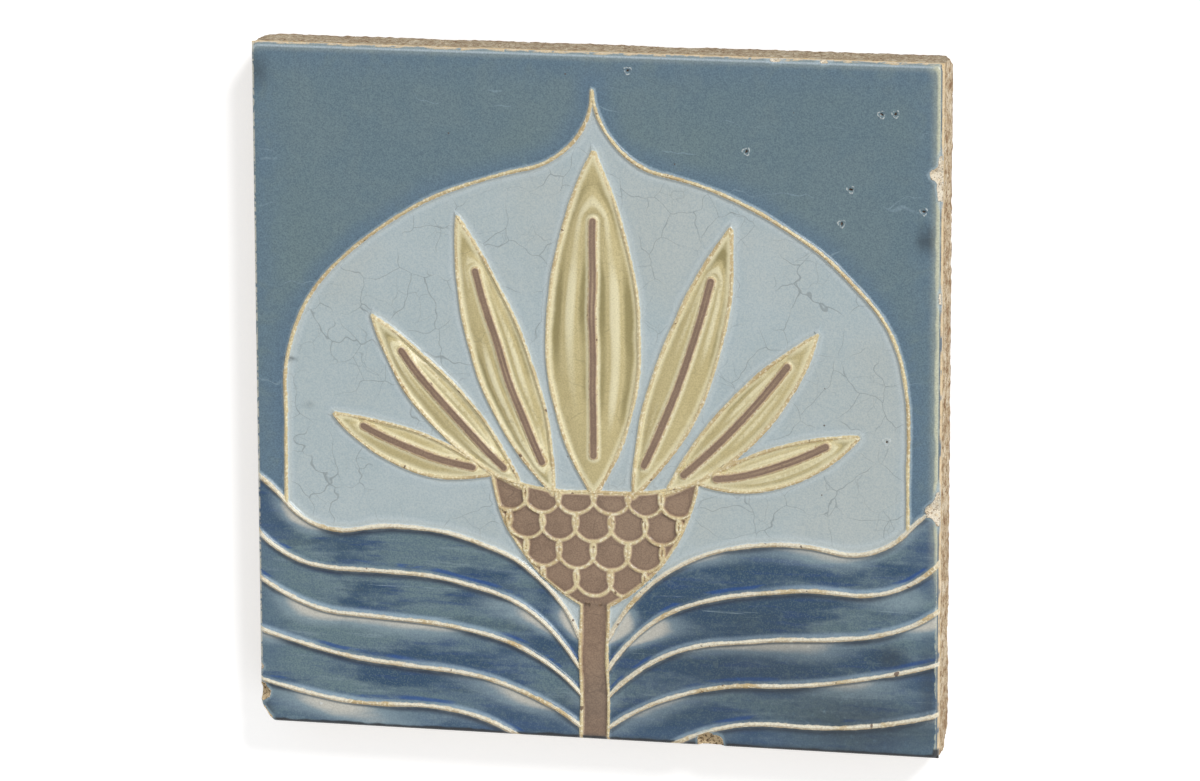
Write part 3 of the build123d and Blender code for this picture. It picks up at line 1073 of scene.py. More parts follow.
@dataclass
class FaienceTile:
    """The pressed tile: glazed face, clay sides and keyed back, as one closed mesh."""

    picture: Picture
    side: float
    thickness: float
    field_height: float = 17.4
    rim_radius: float = 1.3
    corner_radius: float = 2.0
    line_rise: float = 0.85
    line_foot: float = 1.15
    line_crest: float = 0.3
    petal_rise: float = 1.1
    bowl_rise: float = 1.2
    scale_rise: float = 0.35
    vein_rise: float = 0.5
    vein_half: float = 1.3
    fold_rise: float = 0.28
    fold_pitch: float = 0.6
    fold_room: Point = (2.4, 4.6)
    girth_swell: float = 0.22
    rim_steps: int = 406
    pit_depth: float = 0.5
    pit_reach: Point = (0.75, 0.38)
    lip_radius: float = 0.98
    lip_rise: float = 0.12
    blister_rise: float = 0.3
    key_count: int = 7
    key_width: float = 13.0
    key_pitch: float = 24.0
    key_length: float = 168.0
    key_depth: float = 1.8
    key_slope: float = 0.65
    side_wear: float = 0.24
    glaze_skirt: float = 1.1
    run_length: float = 0.35
    drip_length: float = 0.9
    long_drip: tuple[float, float, float] = (-51.0, 2.8, 1.5)
    foot_wear: float = 0.25
    foot_height: float = 3.5
    corner_cut: Point = (4.3, 6.8)
    back_cut: tuple[float, float, float] = (6.0, 5.5, 8.0)

    def __post_init__(self) -> None:
        """Prepares the searches that the relief needs, and the damage."""
        self.half = self.side / 2
        self.arris = self.field_height - self.rim_radius
        self.skirt = self.arris - self.glaze_skirt
        picture = self.picture
        self.rail_search = Nearest(line for line, _ in picture.lines())
        self.rail_girths = np.concatenate([np.full(len(line), girth) for line, girth in picture.lines()])
        self.first_scale = sum(map(len, picture.rails))
        self.vein_search = Nearest(picture.veins)
        face, half = self.field_height, self.half
        self.chips = (
            Chip.cut((-half, -half, 0.0), (-self.corner_cut[0], -self.corner_cut[1], math.inf)),
            Chip.cut((half, -half, 0.0), (self.back_cut[0], -self.back_cut[1], -self.back_cut[2])),
            Chip.cut((half, half, 0.0), (2.6, 3.0, -9.0)),
            Chip.cut((-half, half, 0.0), (-2.2, 2.4, -7.0)),
            Chip((-half - 0.5, -92.4, face + 0.3), (3.5, 2.9, 2.8)),
            Chip((-half - 0.6, -84.8, face + 0.3), (1.7, 1.6, 1.8)),
            Chip((33.2, -half - 0.5, face + 0.4), (2.5, 4.7, 3.0), 0.10, 3.4),
            Chip((36.0, -half - 0.5, face + 0.4), (2.4, 3.8, 2.8), 0.12, 2.6),
            Chip((half + 0.6, 69.8, face + 0.4), (4.9, 4.3, 3.4), 0.12, 1.15),
            Chip((half + 0.4, 73.0, face + 0.3), (1.6, 4.0, 2.0), 0.14, 1.5),
            Chip((half + 0.4, 65.6, face + 0.3), (2.0, 6.2, 2.1), 0.14, 1.4),
            Chip((half + 0.6, -28.0, face + 0.4), (5.2, 5.4, 3.4), 0.12, 1.15),
            Chip((half + 0.5, -27.2, face + 0.3), (2.4, 7.0, 2.4), 0.14, 1.5),
            Chip((half + 0.5, 33.8, face + 0.4), (1.3, 3.0, 1.5)),
            Chip((53.2, half + 0.4, face + 0.2), (2.2, 1.3, 1.8)),
            Chip((67.1, half + 0.4, face + 0.2), (1.9, 1.2, 1.6)),
            Chip((half + 0.4, -68.0, -0.4), (1.4, 8.0, 2.4)),
            Chip((20.0, half + 0.4, -0.4), (12.0, 1.1, 1.9)),
            Chip((-48.0, half + 0.4, -0.4), (8.0, 1.0, 1.8)),
        )
        self.pits = (
            (44.8, 74.6), (83.9, 86.6), (87.9, 86.9), (75.1, 64.7), (72.5, 54.7), (96.2, 59.1),
            (85.9, -8.2), (10.2, 96.8),
        )
        self.blisters = ((28.5, -99.1), (-83.0, -95.2))
        self.smudges = (
            Smudge((-100.0, 93.0), (5.0, 7.0), 0.7),
            Smudge((82.0, -94.0), (24.0, 9.0), 0.7),
            Smudge((88.0, -72.0), (5.0, 3.5), 0.6),
            Smudge((-91.2, 8.4), (2.6, 0.9), 0.9),
            Smudge((-85.3, -5.5), (2.2, 1.2), 0.6),
            Smudge((99.0, -78.0), (3.0, 14.0), 0.5),
            # These two lie along the bottom edge: partly grime, partly a painted shadow of the rounded edge.
            Smudge((-20.0, -101.5), (60.0, 1.2), 1.0),
            Smudge((60.0, -101.5), (45.0, 1.2), 1.0),
            Smudge((34.6, -101.0), (4.0, 3.0), 0.9),
            Smudge((-101.5, -92.6), (2.5, 3.0), 0.8),
            Smudge((-100.0, -98.6), (3.0, 3.6), 1.0),
            Smudge((97.0, 51.0), (3.2, 4.8), 1.0),
            Smudge((98.6, 68.4), (0.7, 0.9), 1.2),
            Smudge((50.0, -76.0), (44.0, 26.0), 0.6),
            Smudge((-6.0, -92.0), (34.0, 12.0), 0.3),
        )

    def relief(self, flat: np.ndarray) -> tuple[np.ndarray, dict[str, np.ndarray]]:
        """Works out the face's height and the values that its glazes read.

        Args:
            flat: The points' places in the tile's plane.

        Returns:
            The height of each point, and the named values of each point.
        """
        design = flat + self.picture.sway(flat)
        rail, rail_number = self.rail_search.find(design)
        vein, _ = self.vein_search.find(design)
        swell = 1.0 + self.girth_swell * ripple(self.rail_search.samples[rail_number], 6.0, 4.0)
        line = rail / (swell * self.rail_girths[rail_number])
        height = np.zeros(len(flat))
        fold = np.zeros(len(flat))
        crest = np.full(len(flat), self.line_rise)
        for outline, axis in self.picture.petal_shapes:
            mask = inside(design, outline)
            room = vein[mask] + rail[mask]
            height[mask] = self.pillow(design[mask], axis, room, self.petal_rise)
            share = vein[mask] / np.maximum(room, 1e-6)
            fade = np.clip(0.6 + 1.2 * ripple(flat[mask], 21.0, 6.0), 0.0, 1.1)
            depth = smooth(*self.fold_room, room) * fade
            fold[mask] = np.cos(2 * math.pi * (share - 0.5) / self.fold_pitch) * depth
        height += np.maximum(fold, -0.6) * self.fold_rise
        bowl = inside(design, self.picture.bowl)
        middle = np.array([[0.0, 0.0], [0.0, 1.0]])
        reach = np.full(int(bowl.sum()), self.picture.bowl_top[0] * self.picture.unit)
        height[bowl] = np.maximum(height[bowl], self.pillow(design[bowl], middle, reach, self.bowl_rise))
        crest[rail_number >= self.first_scale] = self.bowl_rise + self.scale_rise
        step = smooth(self.line_foot, self.line_crest, line)
        height = height * (1 - step) + np.maximum(crest, height) * step
        bar = smooth(self.vein_half + 0.4, self.vein_half - 0.25, vein)
        height = height + bar * (self.petal_rise + self.vein_rise - height)
        beyond = np.abs(flat) - (self.half - self.corner_radius)
        edge = self.corner_radius - np.hypot(*np.maximum(beyond, 0).T) - np.minimum(beyond.max(axis=1), 0)
        radius = self.rim_radius
        drop = radius - np.sqrt(np.maximum(radius**2 - np.clip(radius - edge, 0, radius) ** 2, 0))
        dip = self.dips(flat)
        height = np.minimum(height, self.thickness - self.field_height - 0.1)
        over, under = self.picture.gaps(design)
        values = {
            "seam": np.minimum(line, np.abs(vein - self.vein_half) * 1.7 + 0.3),
            "fold": fold,
            "over": over,
            "under": under,
            "edge": edge,
            "pit": np.clip(dip * 2, -1, 1),
            "drift": ripple(flat * (0.36, 1.0), 15.0, 2.0),
            "girth": self.rail_girths[rail_number],
            "grime_and_shadow": sum(smudge.shade(flat) for smudge in self.smudges),
        }
        return self.field_height + height * smooth(0.1, 1.6, edge) - drop - dip, values

    def dips(self, flat: np.ndarray) -> np.ndarray:
        """The depth of the pits at each point, with their raised lips and the blisters below nought.

        Args:
            flat: The points, one row each.

        Returns:
            One depth in millimetres for each point.
        """
        dip = np.zeros(len(flat))
        for number, pit in enumerate(self.pits):
            cosine, sine = math.cos(0.9 + 1.7 * number), math.sin(0.9 + 1.7 * number)
            turned = (flat - pit) @ np.array([[cosine, -sine], [sine, cosine]])
            dip += self.pit_depth * smooth(1.0, 0.45, np.hypot(*(turned / self.pit_reach).T))
            lobed = np.hypot(*turned.T) * (1 + 0.17 * np.sin(3 * np.arctan2(*turned.T) + number))
            dip -= self.lip_rise * np.exp(-(((lobed - self.lip_radius) / 0.2) ** 2))
        for blister in self.blisters:
            dip -= self.blister_rise * smooth(0.5, 0.2, np.hypot(*(flat - blister).T))
        return dip

    @staticmethod
    def pillow(flat: np.ndarray, axis: np.ndarray, half_width: np.ndarray, rise: float) -> np.ndarray:
        """The height of a pillow that is rise high along an axis and level with the ground at its sides.

        Args:
            flat: The points, one row each.
            axis: The axis's two ends.
            half_width: The pillow's half width at each point.
            rise: Its height along the axis.

        Returns:
            One height in millimetres for each point.
        """
        along = axis[1] - axis[0]
        across = (flat - axis[0]) @ np.array([-along[1], along[0]]) / np.hypot(*along)
        half_width = np.maximum(half_width, 3.0)
        return np.maximum(rise * (1 - (across / half_width) ** 2), 0.05)

    def ring(self) -> np.ndarray:
        """The points round the tile's edge, in order.

        Returns:
            The points, one row each.
        """
        run = np.linspace(-self.half, self.half, self.rim_steps + 1)[:-1]
        side = np.stack([run, np.full(len(run), -self.half)], 1)
        quarter = np.array([[0.0, -1.0], [1.0, 0.0]])
        sides = [side]
        for _ in range(3):
            sides.append(sides[-1] @ quarter.T)
        return np.vstack(sides)

    def face_points(self) -> np.ndarray:
        """Points over the face, closest along the raised lines, round the rim and at the damage.

        Returns:
            The points, one row each.
        """
        rng = np.random.default_rng(SEED)
        half, picture = self.half, self.picture
        turns = np.linspace(0.0, 2 * math.pi, 22)[:-1]
        ring = np.stack([np.cos(turns), np.sin(turns)], 1)
        rings = np.vstack([ring * radius for radius in (0.5, 0.8, 1.05, 1.3, 1.6, 2.0)])
        fine = []
        for line, _ in picture.lines():
            fine.append(beside(picture.as_drawn(line), (0.0, 0.28, 0.52, 0.78, 1.05, 1.6, 2.5), 6))
        for line in picture.veins:
            drawn = picture.as_drawn(line)
            fine.append(beside(drawn, (0.0, 0.75, 1.05, 1.35, 1.7, 2.3), 6))
            fine += [end + rings for end in (drawn[0], drawn[-1])]
        spots = [(chip.middle[:2], chip.reach[:2]) for chip in self.chips if max(chip.reach[:2]) < 10]
        spots += [(pit, (1.2, 1.2)) for pit in (*self.pits, *self.blisters)]
        for middle, reach in spots:
            count = int(min(1800, 28 * reach[0] * reach[1] + 180))
            fine.append(np.array(middle) + rng.uniform(-1.4, 1.4, (count, 2)) * reach)
        for depth, pitch in ((0.2, 0.6), (0.5, 0.6), (0.9, 0.7), (1.4, 0.9), (2.2, 1.2), (3.4, 1.8)):
            run = np.arange(-half + depth, half - depth, pitch)
            for sign in (-1, 1):
                level = np.full(len(run), sign * (half - depth))
                fine += [np.stack([run, level], 1), np.stack([level, run], 1)]
        close = self.grid(0.85, rng)
        design = close + picture.sway(close)
        keep = inside(design, picture.bowl)
        for outline, _ in picture.petal_shapes:
            keep |= inside(design, outline)
        chosen = np.zeros((0, 2))
        for points, size in ((np.vstack(fine), 0.25), (close[keep], 0.56), (self.grid(2.4, rng), 1.7)):
            points = points[np.abs(points).max(axis=1) < half - 0.12]
            _, first = np.unique(np.floor(points / size).astype(int), axis=0, return_index=True)
            points = points[np.sort(first)]
            if len(chosen):
                points = points[Nearest([chosen]).find(points)[0] > size * 0.75]
            chosen = np.vstack([chosen, points])
        return chosen

    def grid(self, pitch: float, rng: np.random.Generator) -> np.ndarray:
        """A loose grid of points over the whole face.

        Args:
            pitch: The points' distance.
            rng: The generator that moves them off the grid.

        Returns:
            The points, one row each.
        """
        run = np.arange(-self.half + pitch, self.half - pitch / 2, pitch)
        spots = np.stack(np.meshgrid(run, run), -1).reshape(-1, 2)
        return spots + rng.uniform(-0.25, 0.25, spots.shape) * pitch

    def back_points(self) -> np.ndarray:
        """Points over the back: both edges of each key's sloped walls, and a loose grid.

        Returns:
            The points, one row each.
        """
        rows = []
        for y in self.key_levels():
            for inset in (0.0, self.key_slope):
                end, width = self.key_length / 2 - inset, self.key_width / 2 - inset
                run, down = np.linspace(-end, end, 85), np.linspace(-width, width, 9)
                for sign in (-1, 1):
                    rows.append(np.stack([run, np.full(len(run), y + sign * width)], 1))
                    rows.append(np.stack([np.full(len(down), sign * end), y + down], 1))
        rows = np.vstack(rows)
        loose = self.grid(4.0, np.random.default_rng(SEED + 1))
        return np.vstack([rows, loose[Nearest([rows]).find(loose)[0] > 1.6]])

    def key_levels(self) -> list[float]:
        """The height in the picture's plane of each key's middle."""
        return [(n - (self.key_count - 1) / 2) * self.key_pitch for n in range(self.key_count)]

    def back_height(self, flat: np.ndarray) -> np.ndarray:
        """How far the keys are let into the back at each point.

        Args:
            flat: The points, one row each.

        Returns:
            One depth in millimetres for each point.
        """
        depth = np.zeros(len(flat))
        for y in self.key_levels():
            ends = self.key_length / 2 - np.abs(flat[:, 0])
            beyond = np.minimum(ends, self.key_width / 2 - np.abs(flat[:, 1] - y))
            depth = np.maximum(depth, np.clip(beyond / self.key_slope, 0, 1) * self.key_depth)
        return depth

    def build(self, materials: list[bpy.types.Material]) -> bpy.types.Object:
        """Builds the tile.

        Args:
            materials: The finishes, in the order of Region.

        Returns:
            The tile's object.
        """
        ring = self.ring()
        count = len(ring)
        face_flat = np.vstack([ring, self.face_points()])
        height, values = self.relief(face_flat)
        levels = [self.arris - 0.55, self.skirt, self.skirt - 0.5]
        levels += [*np.linspace(self.skirt - 1.2, 1.6, 12), 0.8, 0.3, 0.0]
        rows = [np.hstack([ring, np.full((count, 1), level)]) for level in levels]
        back_flat = self.back_points()
        back = np.hstack([back_flat, self.back_height(back_flat)[:, None]])
        face = np.hstack([face_flat, height[:, None]])
        points = np.vstack([face, *rows, back])
        wall = slice(len(face), len(face) + count * len(levels))
        for name in values:
            values[name] = np.concatenate([values[name], np.zeros(len(points) - len(face))])
            values[name][wall] = np.tile(values[name][:count], len(levels))
        values["edge"][len(face) :] = points[len(face) :, 2] - self.arris
        faces = sheet(face_flat)
        around = np.roll(np.arange(count), -1)
        above = np.arange(count)
        for row in range(len(levels)):
            below = wall.start + row * count + np.arange(count)
            faces += list(zip(above[around], above, below, below[around]))
            above = below
        index = np.concatenate([above, np.arange(wall.stop, len(points))])
        faces += [(index[a], index[c], index[b]) for a, b, c in sheet(points[index][:, :2])]
        region = self.regions(points, faces)
        self.wear_sides(points, wall)
        broken = np.zeros(len(points))
        for chip in self.chips:
            broken = np.maximum(broken, chip.bite(points))
        np.clip(points[:, :2], -self.half, self.half, out=points[:, :2])
        np.clip(points[:, 2], 0.0, self.thickness, out=points[:, 2])
        values["chip"] = broken
        return write_mesh("faience_tile", points, faces, materials, region, values)

    def wear_sides(self, points: np.ndarray, wall: slice) -> None:
        """Roughens the clay sides, lets the glaze run down them, and wears them ragged at the back.

        Args:
            points: The mesh's points, changed in place.
            wall: Which of them are the sides'.
        """
        middle, width, length = self.long_drip
        for number in range(wall.start, wall.stop):
            x, y, z = points[number]
            spot = Vector((x, y, z * 1.6))
            depth = self.side_wear * (1.0 + noise.noise(spot * 0.55) + 0.5 * noise.noise(spot * 0.14))
            low = self.foot_wear * max(0.0, 1 - z / self.foot_height)
            ragged = low * max(0.0, noise.noise(Vector((x, y, 3.0)) * 0.34))
            fade = min(1.0, max(0.0, (self.arris - 0.4 - z) / 1.5))
            inward = (depth * fade + ragged) / self.half
            points[number, 0] -= x * inward
            points[number, 1] -= y * inward
            along = Vector((x, y, 0.0))
            run = self.run_length * noise.noise(along * 0.4)
            run += self.drip_length * max(0.0, noise.noise(along * 0.11) - 0.15)
            if x > self.half - 1:
                run += length * math.exp(-(((y - middle) / width) ** 2))
            if z > self.skirt - 3.0:
                points[number, 2] -= run * min(1.0, (z - self.skirt + 3.0) / 3.0) * min(1.0, self.arris - z)

    def regions(self, points: np.ndarray, faces: list) -> np.ndarray:
        """Chooses each face's glaze, or clay, by where its middle lies in the picture.

        Args:
            points: The mesh's points.
            faces: The corners of each face.

        Returns:
            The number of each face's Region.
        """
        middle = np.array([points[list(corners)].mean(axis=0) for corners in faces])
        picture, unit = self.picture, self.picture.unit
        flat = middle[:, :2] + picture.sway(middle[:, :2])
        arch, top_leaf = picture.arch, picture.leaves[0]
        folded = np.stack([np.abs(flat[:, 0]), flat[:, 1]], 1)
        under_arch = top_leaf[top_leaf[:, 0] <= picture.arch_foot[0] * unit]
        result = np.full(len(faces), int(Region.SLATE))
        result[inside(folded, under_arch, arch, np.array([[0.0, under_arch[0, 1]]]))] = Region.PALE
        result[inside(folded, top_leaf, np.array([[self.side, -self.side], [0.0, -self.side]]))] = Region.DEEP
        for outline, _ in picture.petal_shapes:
            result[inside(flat, outline)] = Region.OLIVE
        result[self.vein_search.find(flat)[0] < self.vein_half] = Region.BROWN
        stem = (folded[:, 0] < picture.stem_half * unit) & (flat[:, 1] < (picture.bowl_foot_y + 0.8) * unit)
        result[stem | inside(flat, picture.bowl)] = Region.BROWN
        result[middle[:, 2] < self.skirt - 0.05] = Region.CLAY
        return result


@dataclass
class SlipLines:
    """The trailed crests of the raised lines, swept along the picture's lines."""

    tile: FaienceTile
    width: float = 0.75
    flatness: float = 0.55
    spacing: float = 0.5
    grain: float = 0.2
    bedded: float = 0.1
    profile_points: int = 7

    def paths(self) -> bpy.types.Object:
        """The lines as bare edges at the height of the relief's crest, each with its girth.

        Returns:
            The object.
        """
        tile, picture = self.tile, self.tile.picture
        points, girths, edges = [], [], []
        highest = tile.thickness - self.width * self.flatness * 0.7 - self.grain / 2
        for line, girth in picture.lines():
            line = picture.as_drawn(line[::3])
            line = line[np.abs(line).max(axis=1) < tile.half - 1.1]
            if len(line) < 4:
                continue
            height, _ = tile.relief(line)
            height = np.minimum(height - self.bedded, highest)
            place = np.hstack([line, height[:, None]])
            whole = np.array([chip.bite(place.copy()) < 1.0 for chip in tile.chips]).all(axis=0)
            here = np.flatnonzero(whole[:-1] & whole[1:])
            edges += [(len(girths) + n, len(girths) + n + 1) for n in here]
            points.append(place)
            girths += [girth] * len(line)
        mesh = bpy.data.meshes.new("slip_paths")
        mesh.from_pydata((np.vstack(points) * MM).tolist(), edges, [])
        mesh.attributes.new("girth", "FLOAT", "POINT").data.foreach_set("value", np.array(girths, np.float32))
        return linked("slip_lines", mesh)

    def tree(self, material: bpy.types.Material) -> bpy.types.NodeTree:
        """The tree that sweeps a flattened, uneven bead along the paths.

        Args:
            material: The bead's finish.

        Returns:
            The tree.
        """
        names = ("Width", "Flatness", "Spacing", "Grain")
        tree, given = open_group("slip_bead", **dict.fromkeys(names, "Float"))
        curve = add(tree, "GeometryNodeMeshToCurve", {"Mesh": given["Geometry"]}).outputs[0]
        feeds = {"Curve": curve, "Length": given["Spacing"]}
        curve = add(tree, "GeometryNodeResampleCurve", feeds, mode="LENGTH").outputs[0]
        curve = add(tree, "GeometryNodeSetCurveNormal", {"Curve": curve}, mode="Z_UP").outputs[0]
        half = add(tree, "ShaderNodeMath", {0: given["Width"], 1: 0.5}, operation="MULTIPLY").outputs[0]
        feeds = {"Resolution": self.profile_points, "Radius": half}
        round_profile = add(tree, "GeometryNodeCurvePrimitiveCircle", feeds).outputs[0]
        scale = add(tree, "ShaderNodeCombineXYZ", {0: given["Flatness"], 1: 1.0, 2: 1.0}).outputs[0]
        profile = add(tree, "GeometryNodeTransform", {"Geometry": round_profile, "Scale": scale}).outputs[0]
        swell = add(tree, "ShaderNodeTexNoise", {"Scale": per(5.0), "Detail": 2.0}).outputs["Fac"]
        feeds = {"Value": swell, "From Min": 0.3, "From Max": 0.7, "To Min": 0.6, "To Max": 1.2}
        swell = add(tree, "ShaderNodeMapRange", feeds).outputs[0]
        girth = add(tree, "GeometryNodeInputNamedAttribute", {"Name": "girth"}, data_type="FLOAT").outputs[0]
        swell = add(tree, "ShaderNodeMath", {0: swell, 1: girth}, operation="MULTIPLY").outputs[0]
        feeds = {"Curve": curve, "Profile Curve": profile, "Scale": swell, "Fill Caps": True}
        bead = add(tree, "GeometryNodeCurveToMesh", feeds).outputs[0]
        sand = add(tree, "ShaderNodeTexNoise", {"Scale": per(1.3), "Detail": 2.0}).outputs["Fac"]
        sand = add(tree, "ShaderNodeMath", {0: sand, 1: 0.5}, operation="SUBTRACT").outputs[0]
        sand = add(tree, "ShaderNodeMath", {0: sand, 1: given["Grain"]}, operation="MULTIPLY").outputs[0]
        out = add(tree, "GeometryNodeInputNormal").outputs[0]
        push = add(tree, "ShaderNodeVectorMath", {0: out, "Scale": sand}, operation="SCALE").outputs[0]
        bead = add(tree, "GeometryNodeSetPosition", {"Geometry": bead, "Offset": push}).outputs[0]
        bead = add(tree, "GeometryNodeSetShadeSmooth", {"Geometry": bead}).outputs[0]
        return close_group(tree, bead, material)

    def build(self, material: bpy.types.Material) -> bpy.types.Object:
        """Builds the crests as one plain mesh.

        Args:
            material: The crests' finish.

        Returns:
            The crests' object.
        """
        sizes = {
            "Width": self.width * MM,
            "Flatness": self.flatness,
            "Spacing": self.spacing * MM,
            "Grain": self.grain * MM,
        }
        return realised(self.paths(), self.tree(material), sizes)


@dataclass
class Grog:
    """Coarse grains of fired clay that stand out of the rough sides, between two depths below the arris.

    Real grog starts at 0.1 mm, which is too fine to show, so only grains of 0.2 mm and more are made.
    """

    per_square_metre: float = 230000.0
    radius: float = 0.21
    depths: Point = (2.0, 15.4)
    smallest: tuple[float, float, float] = (0.5, 0.5, 0.3)
    largest: tuple[float, float, float] = (1.7, 1.3, 0.9)

    def tree(self, material: bpy.types.Material) -> bpy.types.NodeTree:
        """The tree that scatters grains over the clay sides.

        Args:
            material: The grains' finish.

        Returns:
            The tree.
        """
        kinds = {"Density": "Float", "Radius": "Float", "Lowest": "Vector", "Highest": "Vector"}
        tree, given = open_group("grog_grains", **kinds)
        edge = add(tree, "GeometryNodeInputNamedAttribute", {"Name": "edge"}, data_type="FLOAT").outputs[0]
        low, high = (
            add(tree, "ShaderNodeMath", {0: edge, 1: -depth}, operation=operation).outputs[0]
            for depth, operation in zip(self.depths, ("LESS_THAN", "GREATER_THAN"))
        )
        walls = add(tree, "ShaderNodeMath", {0: low, 1: high}, operation="MULTIPLY").outputs[0]
        feeds = {"Mesh": given["Geometry"], "Selection": walls, "Density": given["Density"], "Seed": SEED}
        spots = add(tree, "GeometryNodeDistributePointsOnFaces", feeds)
        feeds = {"Radius": given["Radius"], "Subdivisions": 1}
        grain = add(tree, "GeometryNodeMeshIcoSphere", feeds).outputs[0]
        feeds = {0: self.smallest, 1: self.largest, "Seed": SEED}
        size = add(tree, "FunctionNodeRandomValue", feeds, data_type="FLOAT_VECTOR").outputs[0]
        feeds = {"Points": spots.outputs[0], "Instance": grain, "Scale": size}
        feeds["Rotation"] = spots.outputs["Rotation"]
        grains = add(tree, "GeometryNodeInstanceOnPoints", feeds).outputs[0]
        grains = add(tree, "GeometryNodeRealizeInstances", {"Geometry": grains}).outputs[0]
        place = add(tree, "GeometryNodeInputPosition").outputs[0]
        for bound, operation in (("Lowest", "MAXIMUM"), ("Highest", "MINIMUM")):
            feeds = {0: place, 1: given[bound]}
            place = add(tree, "ShaderNodeVectorMath", feeds, operation=operation).outputs[0]
        grains = add(tree, "GeometryNodeSetPosition", {"Geometry": grains, "Position": place}).outputs[0]
        return close_group(tree, grains, material)

    def build(self, tile: bpy.types.Object, material: bpy.types.Material, box: tuple) -> bpy.types.Object:
        """Builds the grains on a copy of the tile's mesh, flattened where they would leave its box.

        Args:
            tile: The finished tile.
            material: The grains' finish.
            box: The lowest and highest corner that they may reach.

        Returns:
            The grains' object.
        """
        copy = linked("grog_grains", tile.data.copy())
        sizes = {"Density": self.per_square_metre, "Radius": self.radius * MM}
        sizes |= {"Lowest": tuple(box[0]), "Highest": tuple(box[1])}
        return realised(copy, self.tree(material), sizes)


def realised(obj: bpy.types.Object, tree: bpy.types.NodeTree, sizes: dict[str, Any]) -> bpy.types.Object:
    """Runs a Geometry Nodes tree on an object and keeps the result as its plain mesh.

    Args:
        obj: The object, which keeps its name.
        tree: The tree.
        sizes: The tree's inputs by name.

    Returns:
        The same object.
    """
    modifier = obj.modifiers.new(tree.name, "NODES")
    modifier.node_group = tree
    for socket in tree.interface.items_tree:
        if socket.in_out == "INPUT" and socket.name in sizes:
            modifier[socket.identifier] = sizes[socket.name]
    bpy.context.view_layer.update()
    ready = obj.evaluated_get(bpy.context.evaluated_depsgraph_get())
    mesh = bpy.data.meshes.new_from_object(ready)
    obj.modifiers.remove(modifier)
    obj.data = mesh
    return obj


def beside(line: np.ndarray, offsets: tuple[float, ...], every: int) -> np.ndarray:
    """Points along a line and at each offset to both sides of it.

    Args:
        line: The line's points, one row each.
        offsets: The distances from the line, in millimetres.
        every: Of how many of the line's points one is taken.

    Returns:
        The points, one row each.
    """
    step = np.gradient(line, axis=0)
    normal = np.stack([-step[:, 1], step[:, 0]], 1) / np.hypot(*step.T)[:, None]
    rows = [line[::every] + normal[::every] * offset * sign for offset in offsets for sign in (-1, 1)]
    return np.vstack(rows)


def sheet(flat: np.ndarray) -> list[tuple[int, int, int]]:
    """Triangles over a set of points in a plane, wound with their faces up."""
    _, _, faces, origin, _, _ = geometry.delaunay_2d_cdt([Vector(p) for p in flat], [], [], 0, 1e-5)
    return [tuple(origin[v][0] for v in corners) for corners in faces]


def write_mesh(
    name: str,
    points: np.ndarray,
    faces: list,
    materials: list[bpy.types.Material],
    region: np.ndarray,
    values: dict[str, np.ndarray],
) -> bpy.types.Object:
    """Makes an object from points in millimetres.

    Args:
        name: The object's name.
        points: The points, one row each.
        faces: The corners of each face.
        materials: The material slots.
        region: The material slot of each face.
        values: Named values of each point, for the materials to read.

    Returns:
        The object, linked to the scene.
    """
    mesh = bpy.data.meshes.new(name)
    mesh.from_pydata((points * MM).tolist(), [], [tuple(int(c) for c in corners) for corners in faces])
    for material in materials:
        mesh.materials.append(material)
    mesh.polygons.foreach_set("material_index", np.asarray(region, np.int32))
    for key, value in values.items():
        attribute = mesh.attributes.new(key, "FLOAT", "POINT")
        attribute.data.foreach_set("value", np.asarray(value, np.float32))
    mesh.shade_smooth()
    mesh.set_sharp_from_angle(angle=math.radians(50))
    mesh.update()
    return linked(name, mesh)


